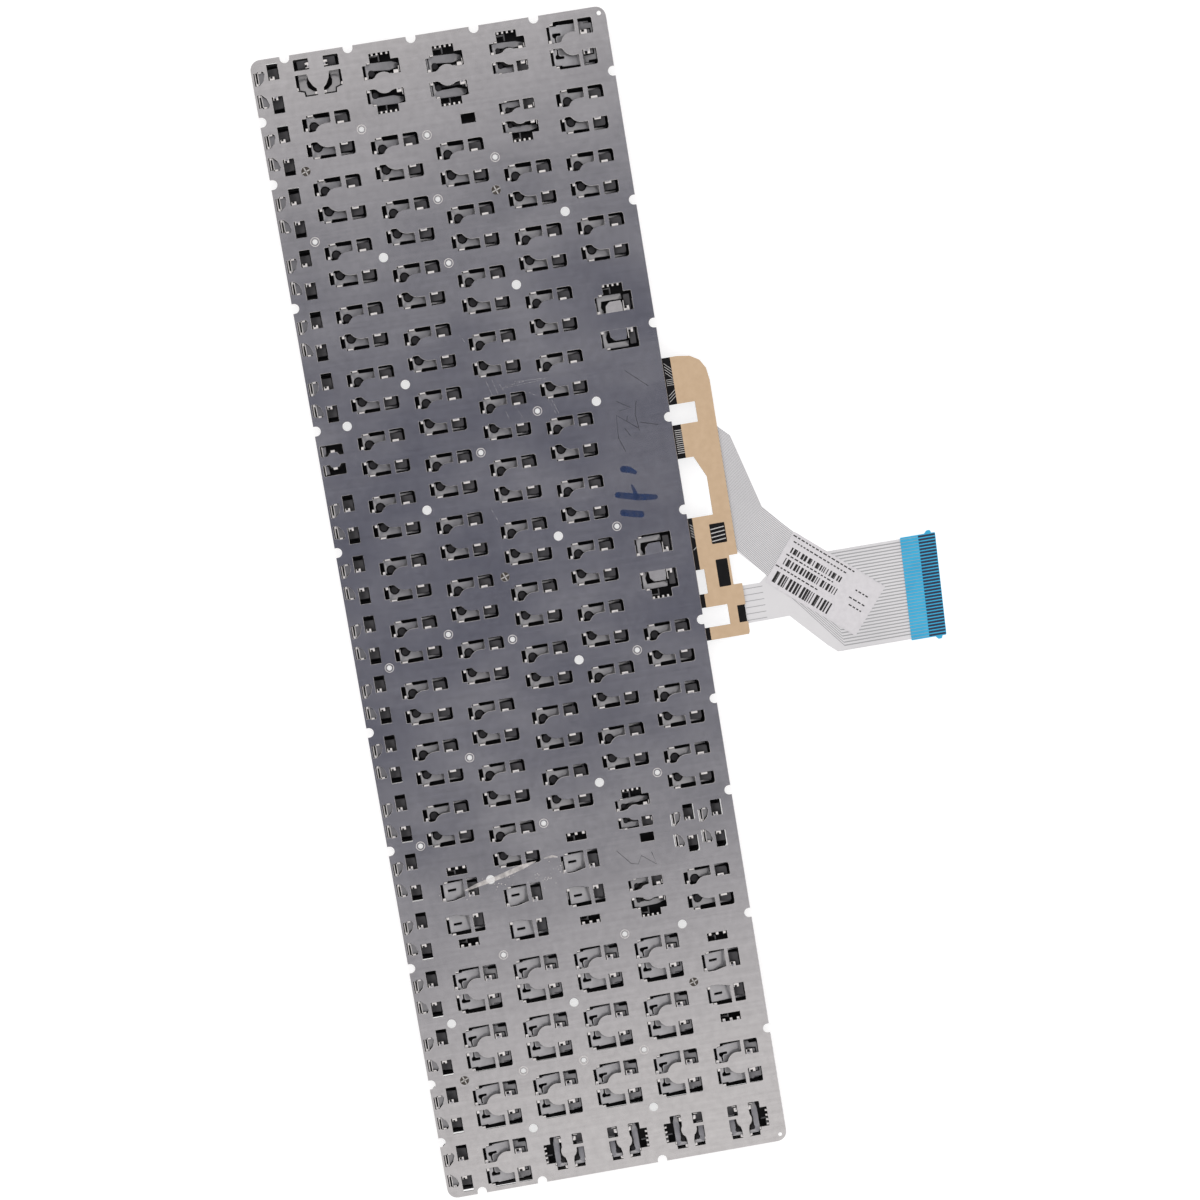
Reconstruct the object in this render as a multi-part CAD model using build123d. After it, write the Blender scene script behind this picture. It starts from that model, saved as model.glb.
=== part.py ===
from build123d import *
import math
import os
from collections import namedtuple

# Support plate, a flat stamped sheet under all the keys
PLATE_THICKNESS = 0.5
PLATE_CORNER_RADIUS = 3.0

# Heights, counted down from the back of the plate to the key tops
MEMBRANE_THICKNESS = 0.3
KEY_TRAVEL = 1.5
STOP_GAP = 0.2
CAP_HEIGHT = 2.2
CAP_TOP_WALL = 0.9

# Key tops
CAP_SPACING = 3.2
CAP_SKIRT = 0.8
CAP_DRAFT_DEG = 8.0
HALF_CAP_DEPTH = 8.0
ARROW_GAP = 1.6

# Key layout
KEY_PITCH = 18.8
ROW_PITCH = 18.6
PAD_PITCH = 18.15
PAD_GAP = 0.55
FIRST_KEY_WIDTHS = {"number": 15.3, "upper": 24.8, "home": 29.3, "lower": 38.6, "bottom": 19.7}
BACKSPACE_WIDTH = 32.3

# Distances from the key tops to the plate's edges, and from the function row to the number row
MAIN_SIDE_INSET = 1.15
PAD_SIDE_INSET = 0.7
FUNCTION_SIDE_INSET = 1.2
NEAR_INSET = 3.75
FAR_INSET = 0.45
FUNCTION_GAP = 3.0

# Windows of the plate, half of each pattern: (inner x, outer x, low y, high y) from the pattern's centre
LAND = 3.0
PATTERNS = {
    "letter": [(LAND, 6.5, -1.3, 6.9), (LAND, 6.5, -7.1, -2.7)],
    "pad": [(LAND, 6.8, -1.9, 6.4), (2.4, 6.7, -7.1, -2.9)],
    "half": [(2.5, 7.2, -3.4, -0.2)],
    "small": [(1.3, 4.5, -3.1, 3.6)],
    "turned": [(1.6, 6.6, -1.1, 3.3), (1.9, 6.5, -5.6, -2.4)],
    "broad": [(LAND, 8.3, -1.5, 5.5), (LAND, 8.3, -5.8, -2.6)],
    "wide": [(LAND, 6.3, -5.1, 4.4)],
    "narrow": [(1.4, 4.9, -5.1, 4.4)],
    "long": [(LAND, 8.2, -5.6, 5.4)],
}
COMB_WIDTH = 2.5
COMB_GAP = 0.4
COMB_LOW = -2.9
COMB_HIGH = 3.2

# Long keys: shift of the mechanism from the key's centre, number and kind of its patterns,
# distance from the end of the key top to the comb, and turn of the mechanism
LongKey = namedtuple("LongKey", "shift sets pattern comb_inset turn")
LONG_KEYS = {
    "backspace": LongKey(0, 1, "broad", 3.45, 0),
    "tab": LongKey(0, 1, "wide", 2.7, 0),
    "caps_lock": LongKey(1.55, 1, "wide", 3.4, 0),
    "enter": LongKey(0, 1, "broad", 4.05, 0),
    "left_shift": LongKey(0, 2, "narrow", 2.6, 0),
    "right_shift": LongKey(0, 2, "narrow", 2.9, 0),
    "space": LongKey(0, 2, "long", 3.85, 0),
    "pad_0": LongKey(0, 1, "pad", 3.9, 0),
    "pad_plus": LongKey(0, 2, "narrow", 1.55, 90),
    "pad_enter": LongKey(0, 2, "narrow", 1.55, 90),
}

# Stake holes and edge notches; small round cuts that repeat have few sides
STAKE_RADIUS = 1.35
RINGED_STAKE_RADIUS = 0.75
STAKE_SIDES = 8
STAKE_CLEARANCE = 0.35
CLEARANCE_SIDES = 6
CORNER_HOLE_RADIUS = 0.65
CORNER_HOLE_INSET = 2.0
ROW_GAP_SHIFT = -0.5
NEAR_GAP_SHIFT = 0.4
NOTCH_WIDTH = 2.8
NOTCH_DEPTH = 2.0
NOTCH_CHAMFER = 0.8
SPACE_NOTCHES = [-55.6, -22.2, 5.7, 33.9]

# Scissor links: rods along X with a round nose, distances along Y from the centre of the pattern
ROD_RADIUS = 0.35
ROD_BACK = 0.15
ROD_CLEARANCE = 0.1
LINK_THICKNESS = 0.6
ARM_WIDTH = 1.0
OUTER_HALF_WIDTH = 5.9
INNER_HALF_WIDTH = 4.7
OUTER_PLATE_Y = 5.4
OUTER_CAP_Y = -5.8
INNER_CAP_Y = 3.9
INNER_PLATE_Y = -4.1

# Lugs of the plate and clips of the key tops
LUG_THICKNESS = 0.35
LUG_SETBACK = 0.1
LUG_STEM = 0.4
LUG_LIP = 0.35
CLIP_X = 1.2
SLOT_CLEARANCE = 0.3

# Stabilizer wires
WIRE_RADIUS = 0.3
WIRE_SIDES = 6
WIRE_PLATE_Y = 0.5
WIRE_CAP_Y = 5.9
WIRE_CLIP_INSET = 1.6

# Rubber domes
DOME_SIDES = 6
DOME_BASE_RADIUS = 2.3
DOME_TOP_RADIUS = 1.2

# Membrane and its flap at the long edge, with the openings between the flap's legs
MEMBRANE_INSET = 0.4
FLAP_X = (-17.0, 68.4)
FLAP_LENGTH = 12.9
FLAP_OPENINGS = [(-13.15, -7.05, 7.8), (-2.95, 4.45, 2.6), (20.15, 38.15, 7.8), (48.25, 54.35, 7.8)]

# Paper liner on the flap
LINER_THICKNESS = 0.12
LINER_START = 1.4
LINER_LENGTH = 11.8
LINER_CORNER_RADIUS = 8.5
LINER_FEET = [(-13.15, -7.95), (-1.55, 7.35)]
LINER_FOOT_LENGTH = 2.6

# Ribbon: film outline from above as (x, distance from the plate's near edge),
# and the bend that brings the film down to the floor
RIBBON_THICKNESS = 0.15
RIBBON_OVERLAP = 6.0
RIBBON_BEND = (14.5, 44.5)
RIBBON_LENGTH = 72.6
RIBBON_SKEW = 1.2
RIBBON_X = (-27.3, 3.3)
RIBBON_RIGHT = [(46.1, 13.1), (42.6, 16.7), (20.2, 22.8), (11.6, 30.3)]
RIBBON_LEFT = [(-24.9, 36.4), (-13.85, 25.9)]
RIBBON_SHOULDER = 39.1
RIBBON_BRANCH_X = (-13.85, -2.35)
RIBBON_CROTCH = [(-2.35, 18.5), (-0.4, 20.9), (8.1, 13.1)]

# Stiffener and label on the ribbon
STIFFENER_THICKNESS = 0.2
STIFFENER_LENGTH = 10.8
STIFFENER_OVERHANG = 0.4
EAR_RADIUS = 0.9
EAR_SIDES = 6
EAR_INSET = 2.0
LABEL_THICKNESS = 0.1
LABEL_CENTRE = (-5.0, 37.5)
LABEL_SIZE = (27.0, 17.0)
LABEL_TURN_DEG = 52.0

# Levels
PLATE_FRONT = -PLATE_THICKNESS
MEMBRANE_FRONT = PLATE_FRONT - MEMBRANE_THICKNESS
CAP_RIM = MEMBRANE_FRONT - KEY_TRAVEL - STOP_GAP
CAP_TOP = CAP_RIM - CAP_HEIGHT
CAP_INNER = CAP_TOP + CAP_TOP_WALL

# Names of the keys, row by row, from the left of the keyboard's front
FUNCTION_NAMES = ["esc"] + [f"f{n}" for n in range(1, 13)] + [
    "insert", "delete", "home", "end", "page_up", "page_down"]
ROW_NAMES = {
    "number": ["grave", *"1234567890", "minus", "equals", "backspace"],
    "upper": ["tab", *"qwertyuiop", "left_bracket", "right_bracket", "backslash"],
    "home": ["caps_lock", *"asdfghjkl", "semicolon", "quote", "enter"],
    "lower": ["left_shift", *"zxcvbnm", "comma", "period", "slash", "right_shift"],
    "bottom": ["left_ctrl", "fn", "start", "left_alt", "space", "right_alt", "right_ctrl",
               "left", "up_down", "right"],
}
FILLING_KEYS = {"number": "backspace", "upper": "backslash", "home": "enter",
                "lower": "right_shift", "bottom": "space"}
PAD_NAMES = {
    "number": ["pad_lock", "pad_divide", "pad_times", "pad_minus"],
    "upper": ["pad_7", "pad_8", "pad_9"],
    "home": ["pad_4", "pad_5", "pad_6"],
    "lower": ["pad_1", "pad_2", "pad_3"],
}
OTHER_PATTERNS = {"grave": "turned", "f6": "small", "left_ctrl": "pad", "backslash": "broad"}
LINKED_KEYS = ROW_NAMES["home"] + ["space"]
PAD_COLUMN_COUNT = 4

# Sizes that follow from the keys
CAP_DEPTH = ROW_PITCH - CAP_SPACING
MAIN_BLOCK_WIDTH = (FIRST_KEY_WIDTHS["number"] + KEY_PITCH * (len(ROW_NAMES["number"]) - 2)
                    + BACKSPACE_WIDTH)
PLATE_LENGTH = (MAIN_BLOCK_WIDTH + PAD_GAP + PAD_COLUMN_COUNT * PAD_PITCH - CAP_SPACING
                + MAIN_SIDE_INSET + PAD_SIDE_INSET)
PLATE_WIDTH = (NEAR_INSET + (len(ROW_NAMES) - 1) * ROW_PITCH + CAP_DEPTH
               + FUNCTION_GAP + HALF_CAP_DEPTH + FAR_INSET)
PLATE_EDGE_X = PLATE_LENGTH / 2
PLATE_EDGE_Y = -PLATE_WIDTH / 2
FUNCTION_ROW_Y = PLATE_WIDTH / 2 - FAR_INSET - HALF_CAP_DEPTH / 2
NUMBER_ROW_Y = FUNCTION_ROW_Y - HALF_CAP_DEPTH / 2 - FUNCTION_GAP - CAP_DEPTH / 2
FUNCTION_PITCH = (PLATE_LENGTH - 2 * FUNCTION_SIDE_INSET + CAP_SPACING) / len(FUNCTION_NAMES)

Key = namedtuple("Key", "name x y width depth pattern")


def row_y(row):
    return NUMBER_ROW_Y - ROW_PITCH * list(ROW_NAMES).index(row)


def gap_y(row):
    # Line of the stakes in the gap on the near side of a row
    shift = NEAR_GAP_SHIFT if row == "lower" else ROW_GAP_SHIFT
    return row_y(row) - ROW_PITCH / 2 + shift


def lay_out_keys():
    keys = {}

    def add(name, x, y, width, depth, pattern):
        keys[name] = Key(name, x, y, width - CAP_SPACING, depth, pattern)

    left_edge = PLATE_EDGE_X - MAIN_SIDE_INSET + CAP_SPACING / 2
    function_start = FUNCTION_PITCH * (len(FUNCTION_NAMES) - 1) / 2
    for index, name in enumerate(FUNCTION_NAMES):
        add(name, function_start - index * FUNCTION_PITCH, FUNCTION_ROW_Y, FUNCTION_PITCH,
            HALF_CAP_DEPTH, "half")

    for row, names in ROW_NAMES.items():
        x = left_edge
        rest = MAIN_BLOCK_WIDTH - FIRST_KEY_WIDTHS[row] - KEY_PITCH * (len(names) - 2)
        for index, name in enumerate(names):
            width = KEY_PITCH
            if index == 0:
                width = FIRST_KEY_WIDTHS[row]
            if name == FILLING_KEYS[row]:
                width = rest
            middle = x - width / 2
            if name == "up_down":
                depth = (CAP_DEPTH - ARROW_GAP) / 2
                shift = (depth + ARROW_GAP) / 2
                add("up", middle, row_y(row) + shift, width, depth, "half")
                add("down", middle, row_y(row) - shift, width, depth, "half")
            else:
                add(name, middle, row_y(row), width, CAP_DEPTH, "letter")
            x -= width
    for name, pattern in OTHER_PATTERNS.items():
        keys[name] = keys[name]._replace(pattern=pattern)

    pad_edge = left_edge - MAIN_BLOCK_WIDTH - PAD_GAP
    columns = [pad_edge - PAD_PITCH * (index + 0.5) for index in range(PAD_COLUMN_COUNT)]
    for row, names in PAD_NAMES.items():
        for x, name in zip(columns, names):
            add(name, x, row_y(row), PAD_PITCH, CAP_DEPTH, "pad")
    add("pad_0", (columns[0] + columns[1]) / 2, row_y("bottom"), 2 * PAD_PITCH, CAP_DEPTH, "pad")
    add("pad_period", columns[2], row_y("bottom"), PAD_PITCH, CAP_DEPTH, "pad")
    tall = CAP_DEPTH + ROW_PITCH
    add("pad_plus", columns[3], row_y("home") + ROW_PITCH / 2, PAD_PITCH, tall, "narrow")
    add("pad_enter", columns[3], row_y("bottom") + ROW_PITCH / 2, PAD_PITCH, tall, "narrow")
    return keys, columns, pad_edge


KEYS, PAD_COLUMNS, PAD_EDGE = lay_out_keys()


Mechanism = namedtuple("Mechanism", "x y places pattern turn comb")


def mechanism(name):
    # Centre of a key's mechanism, places of its scissor patterns, their name and turn, half the comb span
    key = KEYS[name]
    if name not in LONG_KEYS:
        turn = 90 if key.pattern == "turned" else 0
        return Mechanism(key.x, key.y, [(key.x, key.y)], key.pattern, turn, None)
    long_key = LONG_KEYS[name]
    centre = key.x + long_key.shift
    half_span = (key.depth if long_key.turn else key.width) / 2
    comb = half_span - long_key.shift - long_key.comb_inset
    pattern_edge = max(outer for inner, outer, low, high in PATTERNS[long_key.pattern])
    offset = comb - COMB_WIDTH / 2 - COMB_GAP - pattern_edge
    places = [(centre, key.y)]
    if long_key.sets == 2 and long_key.turn:
        places = [(centre, key.y + offset), (centre, key.y - offset)]
    elif long_key.sets == 2:
        places = [(centre + offset, key.y), (centre - offset, key.y)]
    return Mechanism(centre, key.y, places, long_key.pattern, long_key.turn, comb)


def between(first, second):
    return (KEYS[first].x + KEYS[second].x) / 2


def rectangle(x0, x1, y0, y1):
    return Pos((x0 + x1) / 2, (y0 + y1) / 2) * Rectangle(abs(x1 - x0), abs(y1 - y0))


def slab(face, top, thickness):
    return extrude(Pos(0, 0, top) * face, amount=thickness, dir=(0, 0, -1))


def key_windows(name):
    # Window and comb outlines of one key in the plate
    parts = mechanism(name)
    faces = []
    for x, y in parts.places:
        for inner, outer, low, high in PATTERNS[parts.pattern]:
            for side in (1, -1):
                faces.append(Pos(x, y) * Rot(Z=parts.turn) * rectangle(side * inner, side * outer, low, high))
    if parts.comb:
        for middle in (parts.comb, -parts.comb):
            comb = rectangle(middle - COMB_WIDTH / 2, middle + COMB_WIDTH / 2, COMB_LOW, COMB_HIGH)
            faces.append(Pos(parts.x, parts.y) * Rot(Z=parts.turn) * comb)
    return faces


def stake_places():
    number_gap = gap_y("number")
    upper_gap = gap_y("upper")
    home_gap = gap_y("home")
    lower_gap = gap_y("lower")
    function_gap = row_y("number") + (CAP_DEPTH + FUNCTION_GAP) / 2
    pad_gaps = [PAD_EDGE] + [(a + b) / 2 for a, b in zip(PAD_COLUMNS, PAD_COLUMNS[1:])]
    plain = [(x, function_gap) for x in (between("f5", "f6"), pad_gaps[1])]
    plain += [(KEYS[name].x, number_gap) for name in ("3", "5", "7")]
    plain += [(KEYS["equals"].x - KEY_PITCH, number_gap), (pad_gaps[3], number_gap)]
    plain += [(pad_gaps[1], upper_gap), (pad_gaps[3], home_gap), (pad_gaps[0], lower_gap)]
    plain += [(KEYS[name].x, home_gap) for name in ("d", "j", "l", "quote")]
    plain += [(KEYS[name].x, lower_gap) for name in ("s", "g")]
    ringed = [(between(*pair), function_gap) for pair in (("f2", "f3"), ("f9", "f10"), ("f12", "insert"))]
    ringed += [(KEYS[name].x, number_gap) for name in ("1", "9", "minus")]
    ringed += [(between(*pair), upper_gap) for pair in ("as", "sd", "gh", "kl")]
    ringed += [(KEYS["a"].x + KEY_PITCH / 2, upper_gap), (KEYS["quote"].x - KEY_PITCH / 2, upper_gap)]
    ringed += [(pad_gaps[2], upper_gap)]
    ringed += [(KEYS[name].x, home_gap) for name in "ag"]
    ringed += [(KEYS[name].x, lower_gap) for name in ("j", "l", "quote")]
    pad_corners = [(x, y) for x in (pad_gaps[0], pad_gaps[2]) for y in (number_gap, home_gap)]
    return plain, ringed, pad_corners


def edge_notches():
    cut = rectangle(-NOTCH_WIDTH / 2, NOTCH_WIDTH / 2, -NOTCH_DEPTH, NOTCH_DEPTH)
    notch = chamfer(cut.vertices().group_by(Axis.Y)[0], NOTCH_CHAMFER)
    top_pairs = [FUNCTION_NAMES[i:i + 2] for i in (0, 1, 3, 5, 7, 10, 12, 14, 16, 17)]
    bottom = [PAD_COLUMNS[1] - PAD_PITCH / 2, PAD_EDGE, between("left", "up"), KEYS["right_ctrl"].x]
    bottom += [KEYS["space"].x + shift for shift in SPACE_NOTCHES]
    bottom += [between("start", "left_alt"), between("left_ctrl", "fn")]
    function_gap = gap_y("number") + ROW_PITCH
    gaps = [function_gap] + [gap_y(row) for row in ("number", "upper", "home", "lower")]
    notches = [Pos(between(*pair), -PLATE_EDGE_Y) * notch for pair in top_pairs]
    notches += [Pos(x, PLATE_EDGE_Y) * Rot(Z=180) * notch for x in bottom]
    notches += [Pos(PLATE_EDGE_X, y) * Rot(Z=-90) * notch for y in gaps]
    notches += [Pos(-PLATE_EDGE_X, gaps[i]) * Rot(Z=90) * notch for i in (0, 1, 3)]
    return notches


def plate_level(radius):
    # Axis of a rod or wire that runs in the plate's lugs
    return MEMBRANE_FRONT - ROD_CLEARANCE - radius


def cap_level(radius):
    # Axis of a rod or wire that runs in a key top's clips
    return CAP_INNER + ROD_CLEARANCE + radius


def lug(x0, x1, axis_y, root, axis_z, radius, opening):
    # Hooked tab round a rod: a stem at one side of it and a lip past it; opening is the free side
    down = 1 if axis_z > root else -1
    near = axis_y - opening * (radius + ROD_CLEARANCE)
    far = near - opening * LUG_STEM
    tip = axis_y + opening * radius
    lip = axis_z + down * (radius + ROD_CLEARANCE)
    end = lip + down * LUG_LIP
    profile = Polygon((far, root), (near, root), (near, lip), (tip, lip), (tip, end), (far, end), align=None)
    return extrude(Plane.YZ.offset(x0) * profile, amount=x1 - x0, dir=(1, 0, 0))


def lug_spans():
    # The two lugs of a pattern stand a little back from the edges of the land between its windows
    high = LAND - LUG_SETBACK
    low = high - LUG_THICKNESS
    return (low, high), (-high, -low)


def scissor_lugs(x, y):
    level = plate_level(ROD_RADIUS)
    lugs = []
    for low, high in lug_spans():
        start = x + low
        stop = x + high
        lugs.append(lug(start, stop, y + OUTER_PLATE_Y, PLATE_FRONT, level, ROD_RADIUS, 1))
        lugs.append(lug(start, stop, y + INNER_PLATE_Y, PLATE_FRONT, level, ROD_RADIUS, -1))
    return lugs


def wire_lug_edges(comb):
    high = comb - COMB_WIDTH / 2 - LUG_SETBACK
    return high - LUG_THICKNESS, high


def wire_lugs(x, y, comb):
    low, high = wire_lug_edges(comb)
    level = plate_level(WIRE_RADIUS)
    return [lug(x + start, x + start + LUG_THICKNESS, y + WIRE_PLATE_Y, PLATE_FRONT, level, WIRE_RADIUS, 1)
            for start in (low, -high)]


def support_plate():
    plain, ringed, pad_corners = stake_places()
    windows = [face for name in KEYS for face in key_windows(name)]
    windows += [Pos(*place) * RegularPolygon(STAKE_RADIUS, STAKE_SIDES) for place in plain]
    windows += [Pos(*place) * RegularPolygon(RINGED_STAKE_RADIUS, STAKE_SIDES) for place in ringed]
    windows += [Pos(*place) * Circle(RINGED_STAKE_RADIUS) for place in pad_corners]
    corner_x = PLATE_EDGE_X - CORNER_HOLE_INSET
    corner_y = PLATE_EDGE_Y + CORNER_HOLE_INSET
    windows += [Pos(x, corner_y) * RegularPolygon(CORNER_HOLE_RADIUS, STAKE_SIDES)
                for x in (corner_x, -corner_x)]
    outline = RectangleRounded(PLATE_LENGTH, PLATE_WIDTH, PLATE_CORNER_RADIUS) - edge_notches()
    sheet = Face(outline.face().outer_wire(), [window.face().outer_wire() for window in windows])
    plate = slab(sheet, 0, PLATE_THICKNESS)
    lugs = []
    for name in LINKED_KEYS:
        parts = mechanism(name)
        for x, y in parts.places:
            lugs += scissor_lugs(x, y)
        if parts.comb:
            lugs += wire_lugs(parts.x, parts.y, parts.comb)
    return plate + lugs


def contact_membrane():
    sheet = RectangleRounded(PLATE_LENGTH - 2 * MEMBRANE_INSET, PLATE_WIDTH - 2 * MEMBRANE_INSET,
                             PLATE_CORNER_RADIUS - MEMBRANE_INSET)
    flap_top = PLATE_EDGE_Y + 2 * MEMBRANE_INSET
    flap = rectangle(*FLAP_X, PLATE_EDGE_Y - FLAP_LENGTH, flap_top)
    cuts = [rectangle(x0, x1, PLATE_EDGE_Y - depth, PLATE_EDGE_Y + MEMBRANE_INSET)
            for x0, x1, depth in FLAP_OPENINGS]
    outline = (sheet + flap - cuts).face().outer_wire()
    plain, ringed, pad_corners = stake_places()
    holes = [Pos(*place) * RegularPolygon(STAKE_RADIUS + STAKE_CLEARANCE, CLEARANCE_SIDES) for place in plain]
    holes += [Pos(*place) * RegularPolygon(RINGED_STAKE_RADIUS + STAKE_CLEARANCE, CLEARANCE_SIDES)
              for place in ringed + pad_corners]
    slot_low = INNER_PLATE_Y - ROD_RADIUS - SLOT_CLEARANCE
    slot_high = OUTER_PLATE_Y + ROD_RADIUS + SLOT_CLEARANCE
    for name in LINKED_KEYS:
        parts = mechanism(name)
        for x, y in parts.places:
            for low, high in lug_spans():
                holes.append(Pos(x, y) * rectangle(low - SLOT_CLEARANCE, high + SLOT_CLEARANCE,
                                                   slot_low, slot_high))
        if parts.comb:
            low, high = wire_lug_edges(parts.comb)
            reach = WIRE_RADIUS + ROD_CLEARANCE + LUG_STEM + SLOT_CLEARANCE
            for side in (1, -1):
                slot = rectangle(side * (low - SLOT_CLEARANCE), side * (high + SLOT_CLEARANCE),
                                 WIRE_PLATE_Y - reach, WIRE_PLATE_Y + reach)
                holes.append(Pos(parts.x, parts.y) * slot)
    return slab(Face(outline, [hole.face().outer_wire() for hole in holes]), PLATE_FRONT, MEMBRANE_THICKNESS)


def downward(x, y, z):
    return Plane(origin=(x, y, z), x_dir=(1, 0, 0), z_dir=(0, 0, -1))


def key_top(name):
    # Hollow drafted cap, open towards the plate
    key = KEYS[name]
    outside = extrude(downward(key.x, key.y, CAP_RIM) * Rectangle(key.width, key.depth),
                      amount=CAP_HEIGHT, taper=CAP_DRAFT_DEG)
    inside = extrude(downward(key.x, key.y, CAP_RIM) * Rectangle(key.width - 2 * CAP_SKIRT,
                                                                 key.depth - 2 * CAP_SKIRT),
                     amount=CAP_HEIGHT - CAP_TOP_WALL, taper=CAP_DRAFT_DEG)
    return outside - inside


def linked_key_top(name):
    # Cap with the clips that hold its scissor frames and its wire
    parts = mechanism(name)
    level = cap_level(ROD_RADIUS)
    clips = []
    for x, y in parts.places:
        for start in (x + CLIP_X, x - CLIP_X - LUG_THICKNESS):
            stop = start + LUG_THICKNESS
            clips.append(lug(start, stop, y + INNER_CAP_Y, CAP_INNER, level, ROD_RADIUS, -1))
            clips.append(lug(start, stop, y + OUTER_CAP_Y, CAP_INNER, level, ROD_RADIUS, -1))
    if parts.comb:
        for side in (1, -1):
            start = parts.x + side * (parts.comb - WIRE_CLIP_INSET) - LUG_THICKNESS / 2
            clips.append(lug(start, start + LUG_THICKNESS, parts.y + WIRE_CAP_Y, CAP_INNER,
                             cap_level(WIRE_RADIUS), WIRE_RADIUS, 1))
    return key_top(name) + clips


def link_frame(half_width, reach, rise):
    # Flat frame from its hinge rod at the origin towards -Y, before it is tilted; the rod closes the ring
    length = math.hypot(reach, rise)
    frame = rectangle(-half_width, half_width, 0, -length - LINK_THICKNESS / 2)
    frame -= rectangle(ARM_WIDTH - half_width, half_width - ARM_WIDTH, 0, LINK_THICKNESS / 2 - length)
    ring = extrude(frame, amount=LINK_THICKNESS / 2, both=True)
    nose = Circle(ROD_RADIUS) & rectangle(0, ROD_RADIUS, -ROD_RADIUS, ROD_RADIUS)
    back = rectangle(-ROD_BACK, 0, -ROD_RADIUS, ROD_RADIUS)
    rod = extrude(Plane.YZ * (nose + back), amount=half_width, both=True)
    return ring + rod


def scissor_frames(name):
    # Outer frames hinge on the plate and slide in the key top, inner frames the other way round
    rise = plate_level(ROD_RADIUS) - cap_level(ROD_RADIUS)
    outer_reach = OUTER_PLATE_Y - OUTER_CAP_Y
    inner_reach = INNER_CAP_Y - INNER_PLATE_Y
    outer_tilt = math.degrees(math.atan2(rise, outer_reach))
    inner_tilt = math.degrees(math.atan2(rise, inner_reach))
    outer = Rot(X=outer_tilt) * link_frame(OUTER_HALF_WIDTH, outer_reach, rise)
    inner = Rot(X=-inner_tilt) * link_frame(INNER_HALF_WIDTH, inner_reach, rise)
    places = mechanism(name).places
    return ([Pos(x, y + OUTER_PLATE_Y, plate_level(ROD_RADIUS)) * outer for x, y in places],
            [Pos(x, y + INNER_CAP_Y, cap_level(ROD_RADIUS)) * inner for x, y in places])


def stabilizer_wire(name):
    # Bent wire: two short feet in the plate's combs, two arms and a long bar in the key top
    parts = mechanism(name)
    comb = parts.comb
    rise = plate_level(WIRE_RADIUS) - cap_level(WIRE_RADIUS)
    reach = WIRE_CAP_Y - WIRE_PLATE_Y
    length = math.hypot(reach, rise)
    foot = wire_lug_edges(comb)[0]
    path = Polyline((foot, 0), (comb, 0), (comb, length), (-comb, length), (-comb, 0), (-foot, 0))
    section = Plane(origin=(foot, 0, 0), z_dir=(1, 0, 0)) * RegularPolygon(WIRE_RADIUS, WIRE_SIDES)
    wire = sweep(section, path=path, transition=Transition.RIGHT)
    tilt = math.degrees(math.atan2(rise, reach))
    seat = Pos(0, WIRE_PLATE_Y, plate_level(WIRE_RADIUS)) * Rot(X=-tilt)
    return Pos(parts.x, parts.y) * Rot(Z=parts.turn) * seat * wire


def rubber_dome(x, y):
    base = downward(x, y, MEMBRANE_FRONT) * RegularPolygon(DOME_BASE_RADIUS, DOME_SIDES)
    tip = downward(x, y, CAP_INNER) * RegularPolygon(DOME_TOP_RADIUS, DOME_SIDES)
    return loft([base, tip], ruled=True)


def dome_places():
    places = []
    for name in KEYS:
        places += mechanism(name).places
    return places


def adhesive_liner():
    top = PLATE_EDGE_Y - LINER_START
    bottom = top - LINER_LENGTH
    sheet = rectangle(*FLAP_X, bottom, top)
    corner = sheet.vertices().sort_by(Axis.Y)[:2].sort_by(Axis.X)[-1]
    sheet = fillet(corner, LINER_CORNER_RADIUS)
    for x0, x1, depth in FLAP_OPENINGS:
        sheet -= rectangle(x0, x1, PLATE_EDGE_Y - depth, PLATE_EDGE_Y)
    for x0, x1 in LINER_FEET:
        sheet -= rectangle(x0, x1, bottom - LINER_FOOT_LENGTH, bottom + LINER_FOOT_LENGTH)
    return slab(sheet, PLATE_FRONT + LINER_THICKNESS, LINER_THICKNESS)


def draped(outline, lift, thickness):
    # Film that leaves the flap's underside, bends down in two tangent arcs and lies on the floor
    start = PLATE_EDGE_Y - FLAP_LENGTH + RIBBON_OVERLAP
    end = PLATE_EDGE_Y - RIBBON_LENGTH - RIBBON_SKEW
    bend_start, bend_end = [PLATE_EDGE_Y - distance for distance in RIBBON_BEND]
    high = MEMBRANE_FRONT - RIBBON_THICKNESS + lift
    low = CAP_TOP + lift
    level = Line((start, high), (bend_start, high))
    middle = ((bend_start + bend_end) / 2, (high + low) / 2)
    crest = TangentArc(level @ 1, middle, tangent=level % 1)
    foot = TangentArc(middle, (bend_end, low), tangent=crest % 1)
    floor = Line(foot @ 1, (end, low))
    under = Wire([level, crest, foot, floor])
    over = Pos(0, thickness) * under
    ends = [Line(under @ 0, over @ 0), Line(under @ 1, over @ 1)]
    profile = make_face(under.edges() + over.edges() + ends)
    sheet = extrude(Plane.YZ * profile, amount=PLATE_LENGTH / 2, both=True)
    return sheet & extrude(outline, amount=PLATE_LENGTH, both=True)


def ribbon_cable():
    root = FLAP_LENGTH - RIBBON_OVERLAP
    low, high = RIBBON_X
    points = [(RIBBON_RIGHT[0][0], root), *RIBBON_RIGHT]
    points += [(high, RIBBON_SHOULDER), (high, RIBBON_LENGTH + RIBBON_SKEW)]
    points += [(low, RIBBON_LENGTH), (low, RIBBON_SHOULDER), *RIBBON_LEFT]
    points += [(RIBBON_BRANCH_X[0], root), (RIBBON_BRANCH_X[1], root), *RIBBON_CROTCH]
    points += [(RIBBON_CROTCH[-1][0], root)]
    outline = Polygon(*[(x, PLATE_EDGE_Y - distance) for x, distance in points], align=None)
    return draped(outline, 0, RIBBON_THICKNESS)


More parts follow.
